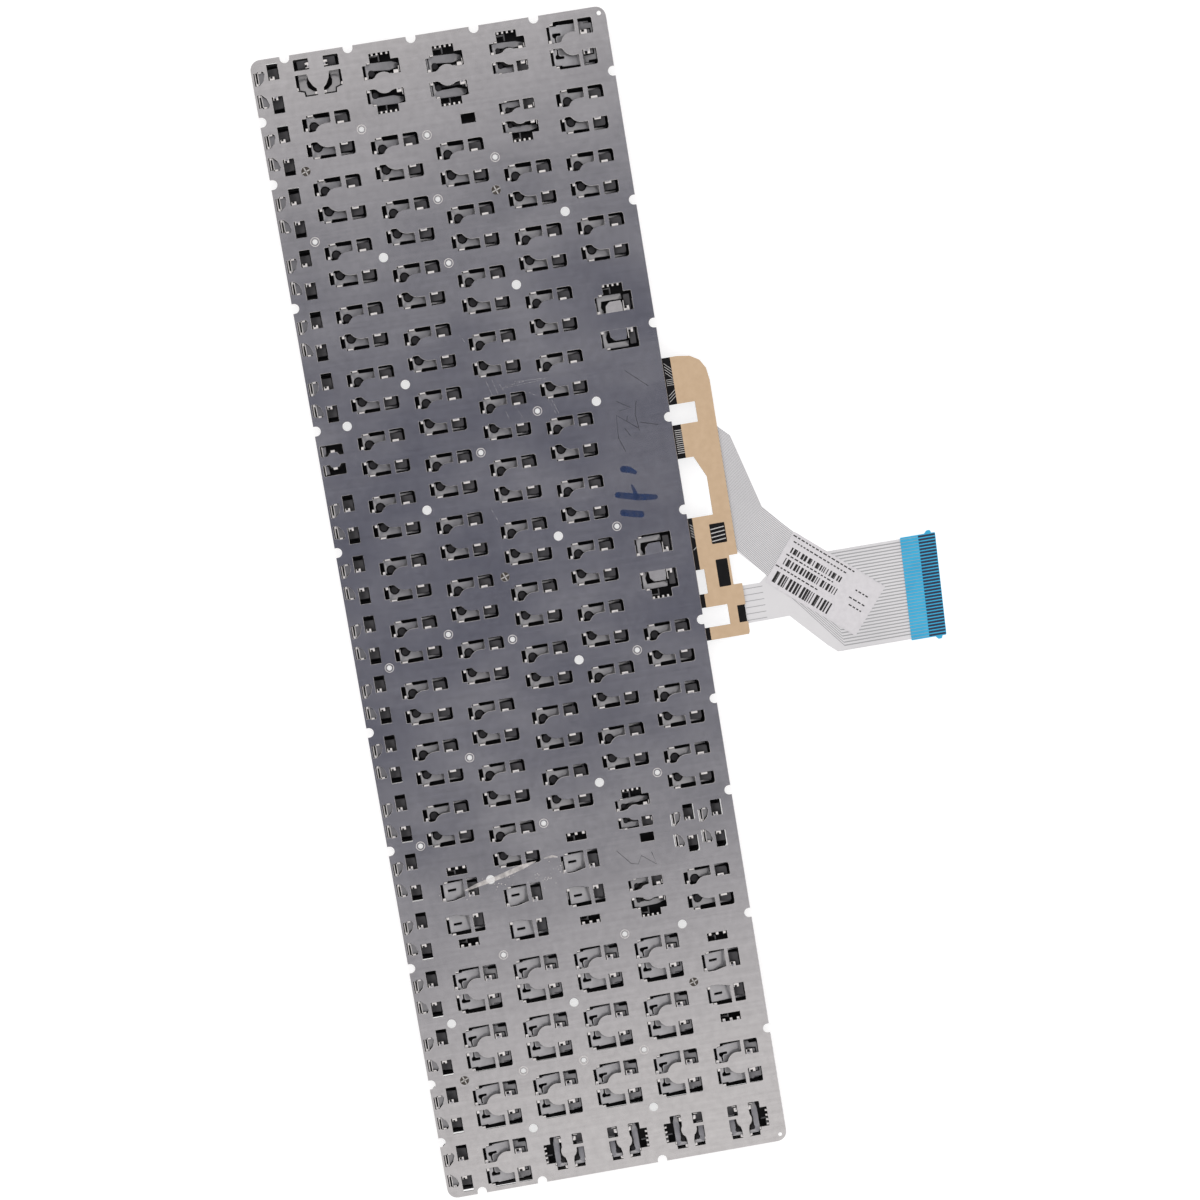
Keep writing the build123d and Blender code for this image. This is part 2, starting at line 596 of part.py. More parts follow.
def contact_stiffener():
    low = RIBBON_X[0] - STIFFENER_OVERHANG
    high = RIBBON_X[1] + STIFFENER_OVERHANG
    low_end = PLATE_EDGE_Y - RIBBON_LENGTH
    high_end = low_end - RIBBON_SKEW
    film = Polygon((low, low_end), (high, high_end), (high, high_end + STIFFENER_LENGTH),
                   (low, low_end + STIFFENER_LENGTH), align=None)
    for x, end in ((low, low_end), (high, high_end)):
        film += Pos(x, end + EAR_INSET) * RegularPolygon(EAR_RADIUS, EAR_SIDES)
    return slab(film, CAP_TOP + RIBBON_THICKNESS + STIFFENER_THICKNESS, STIFFENER_THICKNESS)


def cable_label():
    x, distance = LABEL_CENTRE
    outline = Pos(x, PLATE_EDGE_Y - distance) * Rot(Z=LABEL_TURN_DEG) * Rectangle(*LABEL_SIZE)
    return draped(outline, RIBBON_THICKNESS, LABEL_THICKNESS)


def save(name, solids):
    export_step(Compound(solids), f"parts/{name}.step")


def as_solids(shape):
    return list(shape.solids())


def main():
    os.makedirs("parts", exist_ok=True)
    save("support_plate", as_solids(support_plate()))
    save("contact_membrane", as_solids(contact_membrane()))
    domes = [solid for x, y in dome_places() for solid in as_solids(rubber_dome(x, y))]
    save("rubber_domes", domes)

    groups = {"function_row_keycaps": FUNCTION_NAMES}
    for row, names in ROW_NAMES.items():
        fixed = [name for name in names if name not in LINKED_KEYS]
        if "up_down" in fixed:
            fixed[fixed.index("up_down"):fixed.index("up_down") + 1] = ["up", "down"]
        if fixed:
            groups[f"{row}_row_keycaps"] = fixed
    groups["number_pad_keycaps"] = [name for name in KEYS if name.startswith("pad_")]
    for node, names in groups.items():
        save(node, [solid for name in names for solid in as_solids(key_top(name))])

    for name in LINKED_KEYS:
        outer, inner = scissor_frames(name)
        save(f"keycap_{name}", as_solids(linked_key_top(name)))
        save(f"scissor_outer_{name}", [solid for frame in outer for solid in as_solids(frame)])
        save(f"scissor_inner_{name}", [solid for frame in inner for solid in as_solids(frame)])
        if name in LONG_KEYS:
            save(f"stabilizer_wire_{name}", as_solids(stabilizer_wire(name)))
    fixed_wires = [name for name in LONG_KEYS if name not in LINKED_KEYS]
    save("stabilizer_wires", [solid for name in fixed_wires for solid in as_solids(stabilizer_wire(name))])

    save("adhesive_liner", as_solids(adhesive_liner()))
    save("ribbon_cable", as_solids(ribbon_cable()))
    save("contact_stiffener", as_solids(contact_stiffener()))
    save("cable_label", as_solids(cable_label()))


main()
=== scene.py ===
import math
import random
from collections import namedtuple

import bmesh
import bpy
from mathutils import Matrix, Vector
from mathutils.geometry import delaunay_2d_cdt


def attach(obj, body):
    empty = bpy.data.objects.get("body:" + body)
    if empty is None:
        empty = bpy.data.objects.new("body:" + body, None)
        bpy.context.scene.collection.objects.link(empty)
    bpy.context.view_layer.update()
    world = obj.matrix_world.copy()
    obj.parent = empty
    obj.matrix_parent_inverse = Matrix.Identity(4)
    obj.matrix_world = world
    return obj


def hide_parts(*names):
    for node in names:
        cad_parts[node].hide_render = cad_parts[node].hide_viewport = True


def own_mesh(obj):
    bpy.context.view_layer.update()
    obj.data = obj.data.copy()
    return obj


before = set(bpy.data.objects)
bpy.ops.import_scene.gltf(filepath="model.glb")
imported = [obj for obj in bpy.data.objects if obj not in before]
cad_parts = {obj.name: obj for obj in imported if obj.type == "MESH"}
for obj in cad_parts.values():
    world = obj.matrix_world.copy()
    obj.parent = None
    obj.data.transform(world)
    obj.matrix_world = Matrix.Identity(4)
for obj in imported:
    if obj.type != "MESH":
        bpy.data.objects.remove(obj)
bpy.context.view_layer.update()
chance = random.Random(7)
MM = 0.001

# Levels in millimetres, counted down from the back of the plate
PLATE_FRONT = -0.5
MEMBRANE_FRONT = -0.8
CAP_RIM = -2.5
CAP_INNER = -3.8
CAP_TOP = -4.7

# Key layout
KEY_PITCH = 18.8
ROW_PITCH = 18.6
PAD_PITCH = 18.15
FUNCTION_PITCH = 18.2
CAP_SPACING = 3.2
CAP_DEPTH = 15.4
HALF_CAP_DEPTH = 8.0
ARROW_DEPTH = 6.9
ARROW_SHIFT = 4.25
FIRST_FUNCTION_X = 163.8
FUNCTION_ROW_Y = 48.05
NUMBER_ROW_Y = 33.35
PLATE_EDGE_X = 172.5
PLATE_EDGE_Y = -52.5
LEFT_EDGE = 172.95
MAIN_BLOCK_WIDTH = 273.2
PAD_GAP = 0.55
PAD_EDGE = LEFT_EDGE - MAIN_BLOCK_WIDTH - PAD_GAP
FIRST_KEY_WIDTHS = {"number": 15.3, "upper": 24.8, "home": 29.3, "lower": 38.6, "bottom": 19.7}
FUNCTION_NAMES = ["esc"] + [f"f{n}" for n in range(1, 13)] + [
    "insert", "delete", "home", "end", "page_up", "page_down"]
ROW_NAMES = {
    "number": ["grave", *"1234567890", "minus", "equals", "backspace"],
    "upper": ["tab", *"qwertyuiop", "left_bracket", "right_bracket", "backslash"],
    "home": ["caps_lock", *"asdfghjkl", "semicolon", "quote", "enter"],
    "lower": ["left_shift", *"zxcvbnm", "comma", "period", "slash", "right_shift"],
    "bottom": ["left_ctrl", "fn", "start", "left_alt", "space", "right_alt", "right_ctrl",
               "left", "up_down", "right"],
}
FILLING_KEYS = {"number": "backspace", "upper": "backslash", "home": "enter",
                "lower": "right_shift", "bottom": "space"}
PAD_NAMES = {
    "number": ["pad_lock", "pad_divide", "pad_times", "pad_minus"],
    "upper": ["pad_7", "pad_8", "pad_9"],
    "home": ["pad_4", "pad_5", "pad_6"],
    "lower": ["pad_1", "pad_2", "pad_3"],
}
LINKED_KEYS = ROW_NAMES["home"] + ["space"]
OTHER_PATTERNS = {"grave": "turned", "f6": "small", "left_ctrl": "pad", "backslash": "broad",
                  "backspace": "broad", "enter": "broad", "tab": "wide", "caps_lock": "wide",
                  "left_shift": "narrow", "right_shift": "narrow", "space": "long", "pad_0": "broad"}
SET_OFFSETS = {"left_shift": 8.65, "right_shift": 12.35, "space": 36.25, "pad_plus": 8.55,
               "pad_enter": 8.55}
CAPS_LOCK_SHIFT = 1.55
COMBS = {"backspace": 11.1, "enter": 12.9, "pad_0": 12.65}

Key = namedtuple("Key", "x y width depth pattern")


def row_y(row):
    return NUMBER_ROW_Y - ROW_PITCH * list(ROW_NAMES).index(row)


def lay_out_keys():
    keys = {}
    for index, name in enumerate(FUNCTION_NAMES):
        x = FIRST_FUNCTION_X - index * FUNCTION_PITCH
        keys[name] = Key(x, FUNCTION_ROW_Y, FUNCTION_PITCH - CAP_SPACING, HALF_CAP_DEPTH, "half")
    for row, names in ROW_NAMES.items():
        x = LEFT_EDGE
        y = row_y(row)
        rest = MAIN_BLOCK_WIDTH - FIRST_KEY_WIDTHS[row] - KEY_PITCH * (len(names) - 2)
        for index, name in enumerate(names):
            width = KEY_PITCH
            if index == 0:
                width = FIRST_KEY_WIDTHS[row]
            if name == FILLING_KEYS[row]:
                width = rest
            cap = width - CAP_SPACING
            middle = x - width / 2
            if name == "up_down":
                keys["up"] = Key(middle, y + ARROW_SHIFT, cap, ARROW_DEPTH, "half")
                keys["down"] = Key(middle, y - ARROW_SHIFT, cap, ARROW_DEPTH, "half")
            else:
                keys[name] = Key(middle, y, cap, CAP_DEPTH, "letter")
            x -= width
    columns = [PAD_EDGE - PAD_PITCH * (index + 0.5) for index in range(4)]
    cap = PAD_PITCH - CAP_SPACING
    for row, names in PAD_NAMES.items():
        for x, name in zip(columns, names):
            keys[name] = Key(x, row_y(row), cap, CAP_DEPTH, "pad")
    bottom = row_y("bottom")
    tall = CAP_DEPTH + ROW_PITCH
    keys["pad_0"] = Key((columns[0] + columns[1]) / 2, bottom, cap + PAD_PITCH, CAP_DEPTH, "pad")
    keys["pad_period"] = Key(columns[2], bottom, cap, CAP_DEPTH, "pad")
    keys["pad_plus"] = Key(columns[3], row_y("home") + ROW_PITCH / 2, cap, tall, "narrow")
    keys["pad_enter"] = Key(columns[3], bottom + ROW_PITCH / 2, cap, tall, "narrow")
    for name, pattern in OTHER_PATTERNS.items():
        keys[name] = keys[name]._replace(pattern=pattern)
    return keys, columns


KEYS, PAD_COLUMNS = lay_out_keys()

Seat = namedtuple("Seat", "key x y turn side pattern half")


def key_seats(name):
    # The two mirrored halves of each scissor set of a key
    key = KEYS[name]
    turn = 90 if key.pattern == "turned" or name in ("pad_plus", "pad_enter") else 0
    x = key.x + (CAPS_LOCK_SHIFT if name == "caps_lock" else 0)
    seats = []
    offset = SET_OFFSETS.get(name)
    for step in ((1, -1) if offset else (0,)):
        dx, dy = (0, step * offset) if offset and turn else (step * (offset or 0), 0)
        for side in (1, -1):
            half = "outer" if step in (0, side) else "inner"
            seats.append(Seat(name, x + dx, key.y + dy, turn, side, key.pattern, half))
    return seats


SEATS = {name: key_seats(name) for name in KEYS}
ALL_SEATS = [seat for seats in SEATS.values() for seat in seats]


def place(seat, x, y):
    x *= seat.side
    if seat.turn:
        x, y = -y, x
    return seat.x + x, seat.y + y


def placed(seat, points):
    # Outline of a half pattern, moved to its seat on the plate
    return [place(seat, x, y) for x, y in points]


def box(x0, x1, y0, y1):
    return [(x0, y0), (x1, y0), (x1, y1), (x0, y1)]


def levelled(points, level):
    return [(x, y, level) for x, y in points]


def span(points):
    xs, ys = zip(*points)
    return min(xs), max(xs), min(ys), max(ys)


def outline(*steps):
    # Closed outline from corners (x, y), rounded corners (x, y, radius) and arcs
    corners = []
    for step in steps:
        if step[0] == "arc":
            _, cx, cy, radius, first, last = step
            count = max(3, round(abs(last - first) / 12))
            for index in range(count + 1):
                angle = math.radians(first + (last - first) * index / count)
                corners.append((cx + radius * math.cos(angle), cy + radius * math.sin(angle), 0))
        else:
            corners.append((step[0], step[1], step[2] if len(step) == 3 else 0))
    points = []
    for index, (x, y, radius) in enumerate(corners):
        if not radius:
            points.append((x, y))
            continue
        here = Vector((x, y))
        before = (Vector(corners[index - 1][:2]) - here).normalized()
        after = (Vector(corners[(index + 1) % len(corners)][:2]) - here).normalized()
        start = here + before * radius
        stop = here + after * radius
        for share in (0, 0.25, 0.5, 0.75, 1):
            near = start.lerp(here, share)
            far = here.lerp(stop, share)
            points.append(tuple(near.lerp(far, share)))
    return points


def circle(x, y, radius, sides=24):
    return [(x + radius * math.cos(2 * math.pi * i / sides), y + radius * math.sin(2 * math.pi * i / sides))
            for i in range(sides)]


def pane(x0, x1, y0, y1, *radii):
    # Four-sided outline with a radius at each corner
    return outline(*[(*corner, radius) for corner, radius in zip(box(x0, x1, y0, y1), radii)])


def round_loops(x, y, profile, sides):
    # Level circles about one axis, from pairs of radius and level
    return [levelled(circle(x, y, radius, sides), level) for radius, level in profile]


def ordered(points):
    # The same outline, running against the clock
    area = sum(a[0] * b[1] - b[0] * a[1] for a, b in zip(points, points[1:] + points[:1]))
    return points if area > 0 else points[::-1]


def grown(points, distance):
    # Outline moved outwards by a small distance
    moved = []
    for index, here in enumerate(points):
        before = points[index - 1]
        after = points[(index + 1) % len(points)]
        first = Vector((here[1] - before[1], before[0] - here[0])).normalized()
        second = Vector((after[1] - here[1], here[0] - after[0])).normalized()
        way = (first + second) / max(0.4, 1 + first.dot(second))
        moved.append((here[0] + way.x * distance, here[1] + way.y * distance))
    return moved


def filled(loops, lines=()):
    # Triangles inside the first loop and outside the others
    points = []
    edges = []
    faces = []
    for loop in loops:
        start = len(points)
        points += [Vector(p) for p in loop]
        faces.append(list(range(start, start + len(loop))))
    for first, last in lines:
        edges.append((len(points), len(points) + 1))
        points += [Vector(first), Vector(last)]
    flat, _, triangles, _, _, origins = delaunay_2d_cdt(points, edges, faces, 0, 1e-6)
    kept = [t for t, origin in zip(triangles, origins) if 0 in origin and len(origin) == 1]
    return [tuple(p) for p in flat], kept


class Shape:
    # Vertices in millimetres and faces with a material each
    def __init__(self):
        self.vertices = []
        self.faces = []
        self.slots = []

    def add(self, vertices, faces, slot=0, flip=False):
        start = len(self.vertices)
        self.vertices += vertices
        for face in faces:
            face = [start + index for index in face]
            self.faces.append(face[::-1] if flip else face)
            self.slots.append(slot)

    def loft(self, loops, slot=0, closed=True):
        # Skin through loops of points with equal counts
        count = len(loops[0])
        vertices = [p for loop in loops for p in loop]
        faces = []
        for row in range(len(loops) - 1):
            for index in range(count if closed else count - 1):
                after = (index + 1) % count
                faces.append((row * count + index, row * count + after,
                              (row + 1) * count + after, (row + 1) * count + index))
        self.add(vertices, faces, slot)

    def cap(self, loop, slot=0):
        self.add(loop, [tuple(range(len(loop)))], slot)

    def solid(self, loops, slot=0):
        # Skin through loops, closed at both ends
        self.loft(loops, slot)
        self.cap(loops[0], slot)
        self.cap(loops[-1], slot)

    def sheet(self, outer, holes, top, bottom, edge, slot=0, lines=(), lift=None):
        # Flat sheet with holes and eased upper edges; lift moves it up and down by place
        lift = lift or (lambda x, y: 0)
        outer = ordered(outer)
        holes = [ordered(hole) for hole in holes]

        def raised(points, level):
            return [(p[0], p[1], level + lift(p[0], p[1])) for p in points]

        rims = [grown(outer, -edge)] + [grown(hole, edge) for hole in holes]
        flat, triangles = filled(rims, lines)
        self.add(raised(flat, top), triangles, slot)
        flat, triangles = filled([outer] + holes, lines)
        self.add(raised(flat, bottom), triangles, slot, flip=True)
        for rim, loop in zip(rims, [outer] + holes):
            self.loft([raised(rim, top), raised(loop, top - edge), raised(loop, bottom)], slot)

    def piece(self, name, materials, body="base", replaces=(), finish=None, smooth=None):
        mesh = bpy.data.meshes.new(name)
        mesh.from_pydata([(x * MM, y * MM, z * MM) for x, y, z in self.vertices], [], self.faces)
        for material in materials:
            mesh.materials.append(material)
        mesh.polygons.foreach_set("material_index", self.slots)
        cleaner = bmesh.new()
        cleaner.from_mesh(mesh)
        bmesh.ops.remove_doubles(cleaner, verts=cleaner.verts, dist=1e-7)
        bmesh.ops.recalc_face_normals(cleaner, faces=cleaner.faces)
        cleaner.to_mesh(mesh)
        cleaner.free()
        if smooth:
            mesh.shade_smooth()
            mesh.set_sharp_from_angle(angle=math.radians(smooth))
        made = bpy.data.objects.new(name, mesh)
        bpy.context.collection.objects.link(made)
        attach(made, body)
        if replaces:
            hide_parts(*replaces)
        return made


# Materials
def connect(tree, socket, value):
    # Gives a socket a fixed value, or links it to another node's output
    if isinstance(value, bpy.types.NodeSocket):
        tree.links.new(value, socket)
    else:
        socket.default_value = value


def node(tree, kind, inputs, output, **settings):
    made = tree.nodes.new(f"ShaderNode{kind}")
    for name, value in settings.items():
        setattr(made, name, value)
    for socket, value in inputs.items():
        connect(tree, made.inputs[socket], value)
    return made.outputs[output]


def set_shader(made, inputs):
    tree = made.node_tree
    for socket, value in inputs.items():
        connect(tree, tree.nodes["Principled BSDF"].inputs[socket], value)


def material(name, colour, roughness, metallic=0.0):
    made = bpy.data.materials.new(name)
    made.use_nodes = True
    set_shader(made, {"Base Color": (*colour, 1), "Roughness": roughness, "Metallic": metallic})
    return made


def noise(tree, scale, stretch=(1, 1, 1), detail=4.0):
    where = node(tree, "TexCoord", {}, "Object")
    stretched = node(tree, "Mapping", {"Vector": where, "Scale": stretch}, "Vector")
    return node(tree, "TexNoise", {"Vector": stretched, "Scale": scale, "Detail": detail}, "Fac")


def ramp(tree, value, low, high, first, last):
    inputs = {"Value": value, "From Min": low, "From Max": high, "To Min": first, "To Max": last}
    return node(tree, "MapRange", inputs, "Result")


def mixed(tree, share, first, last):
    inputs = {"Factor": share, "A": (*first, 1), "B": (*last, 1)}
    return node(tree, "Mix", inputs, "Result", data_type="RGBA")


def calculated(tree, operation, first, second=0.0):
    return node(tree, "Math", {0: first, 1: second}, 0, operation=operation)


def bumped(made, value, strength, distance=0.0001):
    inputs = {"Strength": strength, "Distance": distance, "Height": value}
    set_shader(made, {"Normal": node(made.node_tree, "Bump", inputs, "Normal")})


def plate_material():
    # Rolled sheet: fine lines across it, under clouds and mottles
    made = material("plate_metal", (0.55, 0.54, 0.53), 0.2, 1.0)
    tree = made.node_tree
    cloudy = noise(tree, 38, (1, 0.7, 1), 6)
    mottled = noise(tree, 420, (1, 1, 1), 8)
    total = ramp(tree, noise(tree, 900, (1, 0.03, 1), 3), 0.3, 0.7, 0, 0.35)
    for value, share in ((cloudy, 0.42), (mottled, 0.5)):
        total = calculated(tree, "ADD", total, ramp(tree, value, 0.3, 0.7, 0, share))
    set_shader(made, {"Base Color": mixed(tree, total, (0.475, 0.47, 0.468), (0.61, 0.605, 0.602)),
                      "Roughness": ramp(tree, cloudy, 0.3, 0.7, 0.17, 0.25)})
    bumped(made, noise(tree, 2600, (1, 1, 1), 2), 0.05, 0.00002)
    return made


def speckled(name, first, last, roughness, scale, strength=0.0, gloss=0.5):
    made = material(name, first, roughness)
    tree = made.node_tree
    value = noise(tree, scale)
    colour = mixed(tree, ramp(tree, value, 0.3, 0.7, 0, 1), first, last)
    set_shader(made, {"Specular IOR Level": gloss, "Base Color": colour})
    if strength:
        bumped(made, value, strength)
    return made


def stain(name, colour, roughness, low, high, scale):
    # Thin mark that lets the metal show through in patches
    made = material(name, colour, roughness)
    value = noise(made.node_tree, scale, (1, 1, 1), 5)
    set_shader(made, {"Alpha": ramp(made.node_tree, value, 0.35, 0.65, low, high)})
    return made


METAL = plate_material()
# Lighter copy of the plate metal for bent tabs, slot edges and stake rings: their glints are partly real
# reflections, partly painted highlight in this lighter colour
HIGHLIGHT_METAL = speckled("bent_metal", (0.64, 0.63, 0.62), (0.76, 0.75, 0.74), 0.3, 800)
set_shader(HIGHLIGHT_METAL, {"Metallic": 1.0})
FILM = speckled("membrane_film", (0.006, 0.006, 0.007), (0.010, 0.010, 0.011), 0.55, 300, gloss=0.12)
TRACE = material("printed_silver", (0.62, 0.62, 0.60), 0.45, 0.3)
RUBBER = speckled("dome_rubber", (0.012, 0.012, 0.012), (0.018, 0.018, 0.018), 0.7, 500, gloss=0.15)
CAP = speckled("cap_plastic", (0.006, 0.006, 0.007), (0.010, 0.010, 0.011), 0.5, 1500, 0.15, gloss=0.2)
LINK = speckled("link_plastic", (0.165, 0.167, 0.176), (0.215, 0.217, 0.227), 0.3, 500, gloss=1.0)
# Lit copy of the link plastic for pad and broad keys: painted light, lighter than the same plastic elsewhere
LIT_PAD_LINK = speckled("pad_link_plastic", (0.27, 0.274, 0.288), (0.35, 0.354, 0.37), 0.3, 500, gloss=1.0)
for plastic in (LINK, LIT_PAD_LINK):
    set_shader(plastic, {"Coat Weight": 1.0, "Coat IOR": 2.0, "Coat Roughness": 0.25})
PAD_SHADE = speckled("pad_link_shade", (0.16, 0.162, 0.17), (0.21, 0.212, 0.22), 0.35, 500, gloss=0.8)
# Shaded copy of the link plastic for the inner frames and feet: painted shade, darker than the same plastic
# on the outer frames
SHADED_LINK = speckled("dark_link_plastic", (0.042, 0.042, 0.046), (0.065, 0.065, 0.07), 0.4, 500, gloss=0.4)
# Near-black discs at the pivots: painted shade under the upper hooks, on what is the same link plastic
PIVOT_SHADE = speckled("pivot_plastic", (0.017, 0.017, 0.019), (0.028, 0.028, 0.031), 0.6, 500, gloss=0.2)
KRAFT = speckled("liner_paper", (0.60, 0.44, 0.28), (0.65, 0.485, 0.315), 0.75, 500, 0.1)
RIBBON = speckled("ribbon_film", (0.74, 0.75, 0.76), (0.82, 0.83, 0.84), 0.3, 60)
RIBBON_TRACE = material("ribbon_traces", (0.40, 0.41, 0.42), 0.4)
BLUE = speckled("stiffener_film", (0.03, 0.42, 0.72), (0.05, 0.50, 0.80), 0.4, 200)
CONTACT = material("contact_fingers", (0.02, 0.03, 0.07), 0.4)
PAPER = speckled("label_paper", (0.70, 0.70, 0.72), (0.77, 0.77, 0.79), 0.7, 700)
PRINT = material("label_bars", (0.008, 0.008, 0.008), 0.7)
STEEL = material("wire_steel", (0.16, 0.16, 0.165), 0.4, 1.0)
BROWN = material("film_tan", (0.07, 0.06, 0.05), 0.5)
INK = stain("marker_ink", (0.010, 0.035, 0.12), 0.45, 0.5, 0.85, 600)
PENCIL = stain("pencil_marks", (0.05, 0.05, 0.055), 0.5, 0.2, 0.8, 3000)
RESIDUE = stain("glue_residue", (0.68, 0.66, 0.64), 0.8, 0.4, 0.9, 450)
SCRATCH = stain("fine_scratches", (0.62, 0.62, 0.63), 0.5, 0.1, 0.6, 800)

# Half patterns of the plate: window outlines, from the middle of the set
UPPER_LETTER = outline((1.9, 6.9, .2), (5.5, 6.9, .2), (5.5, 5.6), (6.3, 5.5, .2), (6.3, 3.5), (6.5, 3.4),
                       (6.5, -1.3, .2), (3.5, -1.3, .2), ("arc", 0, 0.4, 3.5, 5, 62), (1.5, 4.0, .2),
                       (1.5, 5.2, .2), (1.9, 5.5))
LOWER_LETTER = pane(2.8, 6.5, -2.7, -7.1, .2, .2, .9, .2)
UPPER_PAD = outline((0.8, 6.5, .1), (5.6, 6.5, .1), (5.6, 5.4), (6.4, 5.3, .2), (6.4, 4.4), (6.9, 4.3),
                    (6.9, -1.8, .2), (3.3, -1.8, .2), ("arc", 0, -0.5, 3.4, -12, 72), (0.8, 3.2))
LOWER_PAD = pane(2.2, 6.8, -2.9, -7.0, .2, .2, .6, .2)
UPPER_BROAD = outline((2.5, 5.5, .1), (7.6, 5.5, .1), (7.6, 4.4), (8.2, 4.3, .2), (8.2, 3.2), (8.4, 3.1),
                      (8.4, -1.5, .2), (3.0, -1.5, .2), (2.6, 0.5), (2.2, 2.0), (2.2, 4.2, .2), (2.5, 4.4))
LOWER_BROAD = pane(2.7, 8.3, -2.6, -5.8, .1, .1, .4, .1)
WIDE = outline((1.45, 5.6, .1), (5.5, 5.6, .1), (5.5, 4.4), (6.3, 4.3, .2), (6.3, 3.2), (8.75, 3.2, .2),
               (8.75, -3.0, .2), (6.5, -3.0), (6.5, -5.3, .4), (2.2, -5.3, .2), (2.2, -3.2),
               ("arc", 0, 0, 3.1, -38, 55), (1.45, 3.2))
NARROW = outline((1.1, 5.2, .1), (4.3, 5.2, .1), (4.3, 3.8), (4.8, 3.7, .2), (4.8, 2.8), (7.4, 2.8, .2),
                 (7.4, -3.2, .2), (5.3, -3.2), (5.3, -5.3, .4), (1.9, -5.3, .2), (1.9, -3.2),
                 ("arc", 0, -0.3, 2.4, -35, 55), (1.1, 3.0))
UPPER_NARROW = outline((1.1, 5.2, .1), (4.3, 5.2, .1), (4.3, 3.8), (4.6, 3.7, .2), (4.6, -0.9, .2),
                       (2.4, -0.9, .2), ("arc", 0, -0.3, 2.4, 3, 55), (1.1, 3.0))
LOWER_NARROW = pane(1.6, 4.6, -1.9, -5.2, .1, .1, .5, .1)
LONG_OUTER = outline((2.6, 5.3, .1), (7.5, 5.3, .1), (7.5, 4.2), (8.1, 4.1, .2), (8.1, 2.6), (10.9, 2.6, .2),
                     (10.9, -3.4, .2), (8.3, -3.4), (8.3, -5.7, .3), (2.6, -5.7, .1))
LONG_INNER = outline((2.6, 5.3, .1), (7.5, 5.3, .1), (7.5, 4.2), (8.2, 4.1, .2), (8.5, 2.6), (8.5, -5.7, .3),
                     (2.6, -5.7, .1))
UPPER_HALF = outline((1.3, 3.8, .1), (5.0, 3.8, .1), (5.0, 2.8), (5.3, 2.6), (5.3, 1.0, .3), (4.4, 0.6),
                     (2.6, 1.2), (1.6, 2.2), (1.3, 2.6))
LOWER_HALF = pane(2.4, 7.25, -0.3, -3.5, .1, .1, .2, .1)
SMALL = outline((1.3, 3.6, .2), (4.5, 3.6, .3), (4.5, -3.1, .4), (1.3, -3.1, .2), (1.3, -1.8), (2.2, -1.2),
                (2.2, 1.0), (1.3, 1.6))
UPPER_TURNED = outline((1.0, 5.3, .1), (4.6, 5.3, .1), (4.8, 4.0), (6.7, 3.4, .2), (6.7, -1.1, .2),
                       (3.3, -1.1, .2), (2.9, 0.8), (1.9, 2.6), (1.0, 3.4))
LOWER_TURNED = pane(2.2, 6.6, -2.4, -5.6, .1, .1, .3, .1)
WINDOWS = {
    "letter": [UPPER_LETTER, LOWER_LETTER], "pad": [UPPER_PAD, LOWER_PAD],
    "broad": [UPPER_BROAD, LOWER_BROAD], "turned": [UPPER_TURNED, LOWER_TURNED],
    "half": [UPPER_HALF, LOWER_HALF], "small": [SMALL], "wide": [WIDE],
    "narrow": [NARROW], "inner narrow": [UPPER_NARROW, LOWER_NARROW],
    "long": [LONG_OUTER], "inner long": [LONG_INNER],
}


def seat_windows(seat):
    return WINDOWS.get(f"{seat.half} {seat.pattern}", WINDOWS[seat.pattern])


WINDOW_BOXES = [span(placed(seat, window)) for seat in ALL_SEATS for window in seat_windows(seat)]


def over_window(x, y, margin=0.15):
    for x0, x1, y0, y1 in WINDOW_BOXES:
        if x0 - margin < x < x1 + margin and y0 - margin < y < y1 + margin:
            return True
    return False


def clear_runs(first, last, steps=24):
    # Stretches of a straight line that lie on the metal
    runs = [[]]
    for step in range(steps + 1):
        point = Vector(first).lerp(Vector(last), step / steps)
        if not over_window(*point):
            runs[-1].append(tuple(point))
        elif runs[-1]:
            runs.append([])
    return [run for run in runs if len(run) > 1]


# Bent tabs of each pattern: place on a window's edge, direction, width, reach and drop
TABS = {
    "letter": [(2.8, -4.2, 0, 1.9, 0.7, 0.3), (1.9, 5.9, 0, 0.7, 0.9, 0.4), (6.3, 4.3, 180, 1.6, 0.5, 0.5)],
    "pad": [(2.2, -4.2, 0, 1.9, 1.4, 0.45), (0.8, 5.9, 0, 0.8, 1.0, 0.4), (6.4, 4.9, 180, 0.9, 0.5, 0.4)],
    "broad": [(2.7, -3.5, 0, 1.6, 1.3, 0.45), (2.5, 4.9, 0, 0.8, 0.9, 0.4), (8.2, 3.7, 180, 1.0, 0.5, 0.4)],
    "wide": [(2.2, -4.0, 0, 1.4, 1.2, 0.6), (1.45, 5.0, 0, 0.8, 0.9, 0.4), (6.3, 3.7, 180, 0.9, 0.5, 0.4)],
    "narrow": [(1.75, -3.8, 0, 1.2, 1.0, 0.6), (1.1, 4.6, 0, 0.8, 0.8, 0.4), (4.7, 3.2, 180, 0.8, 0.4, 0.4)],
    "long": [(2.6, -3.6, 0, 1.7, 1.4, 0.45), (2.6, 4.7, 0, 0.8, 0.8, 0.4), (8.1, 3.5, 180, 0.9, 0.5, 0.4)],
    "half": [(2.4, -1.4, 0, 1.4, 1.1, 0.45), (1.3, 3.1, 0, 0.5, 0.7, 0.3), (5.3, 1.9, 180, 0.9, 0.5, 0.3)],
    "small": [(2.2, 0.0, 0, 1.2, 0.8, 0.5)],
    "turned": [(2.2, -3.6, 0, 1.6, 1.2, 0.6), (1.0, 4.6, 0, 0.7, 0.8, 0.4), (6.7, 2.9, 180, 0.8, 0.5, 0.4)],
}
COMB_TEETH = {"wide": 8.75, "narrow": 7.4, "long": 10.9}
LONG_RAMP = outline((2.5, 2.6), (4.6, 2.4), (5.8, 1.2, .3), (5.8, -2.2, .2), (4.6, -2.5), (2.5, -2.5))
RAMP_START = 2.5
RAMP_SLOPE = 0.07
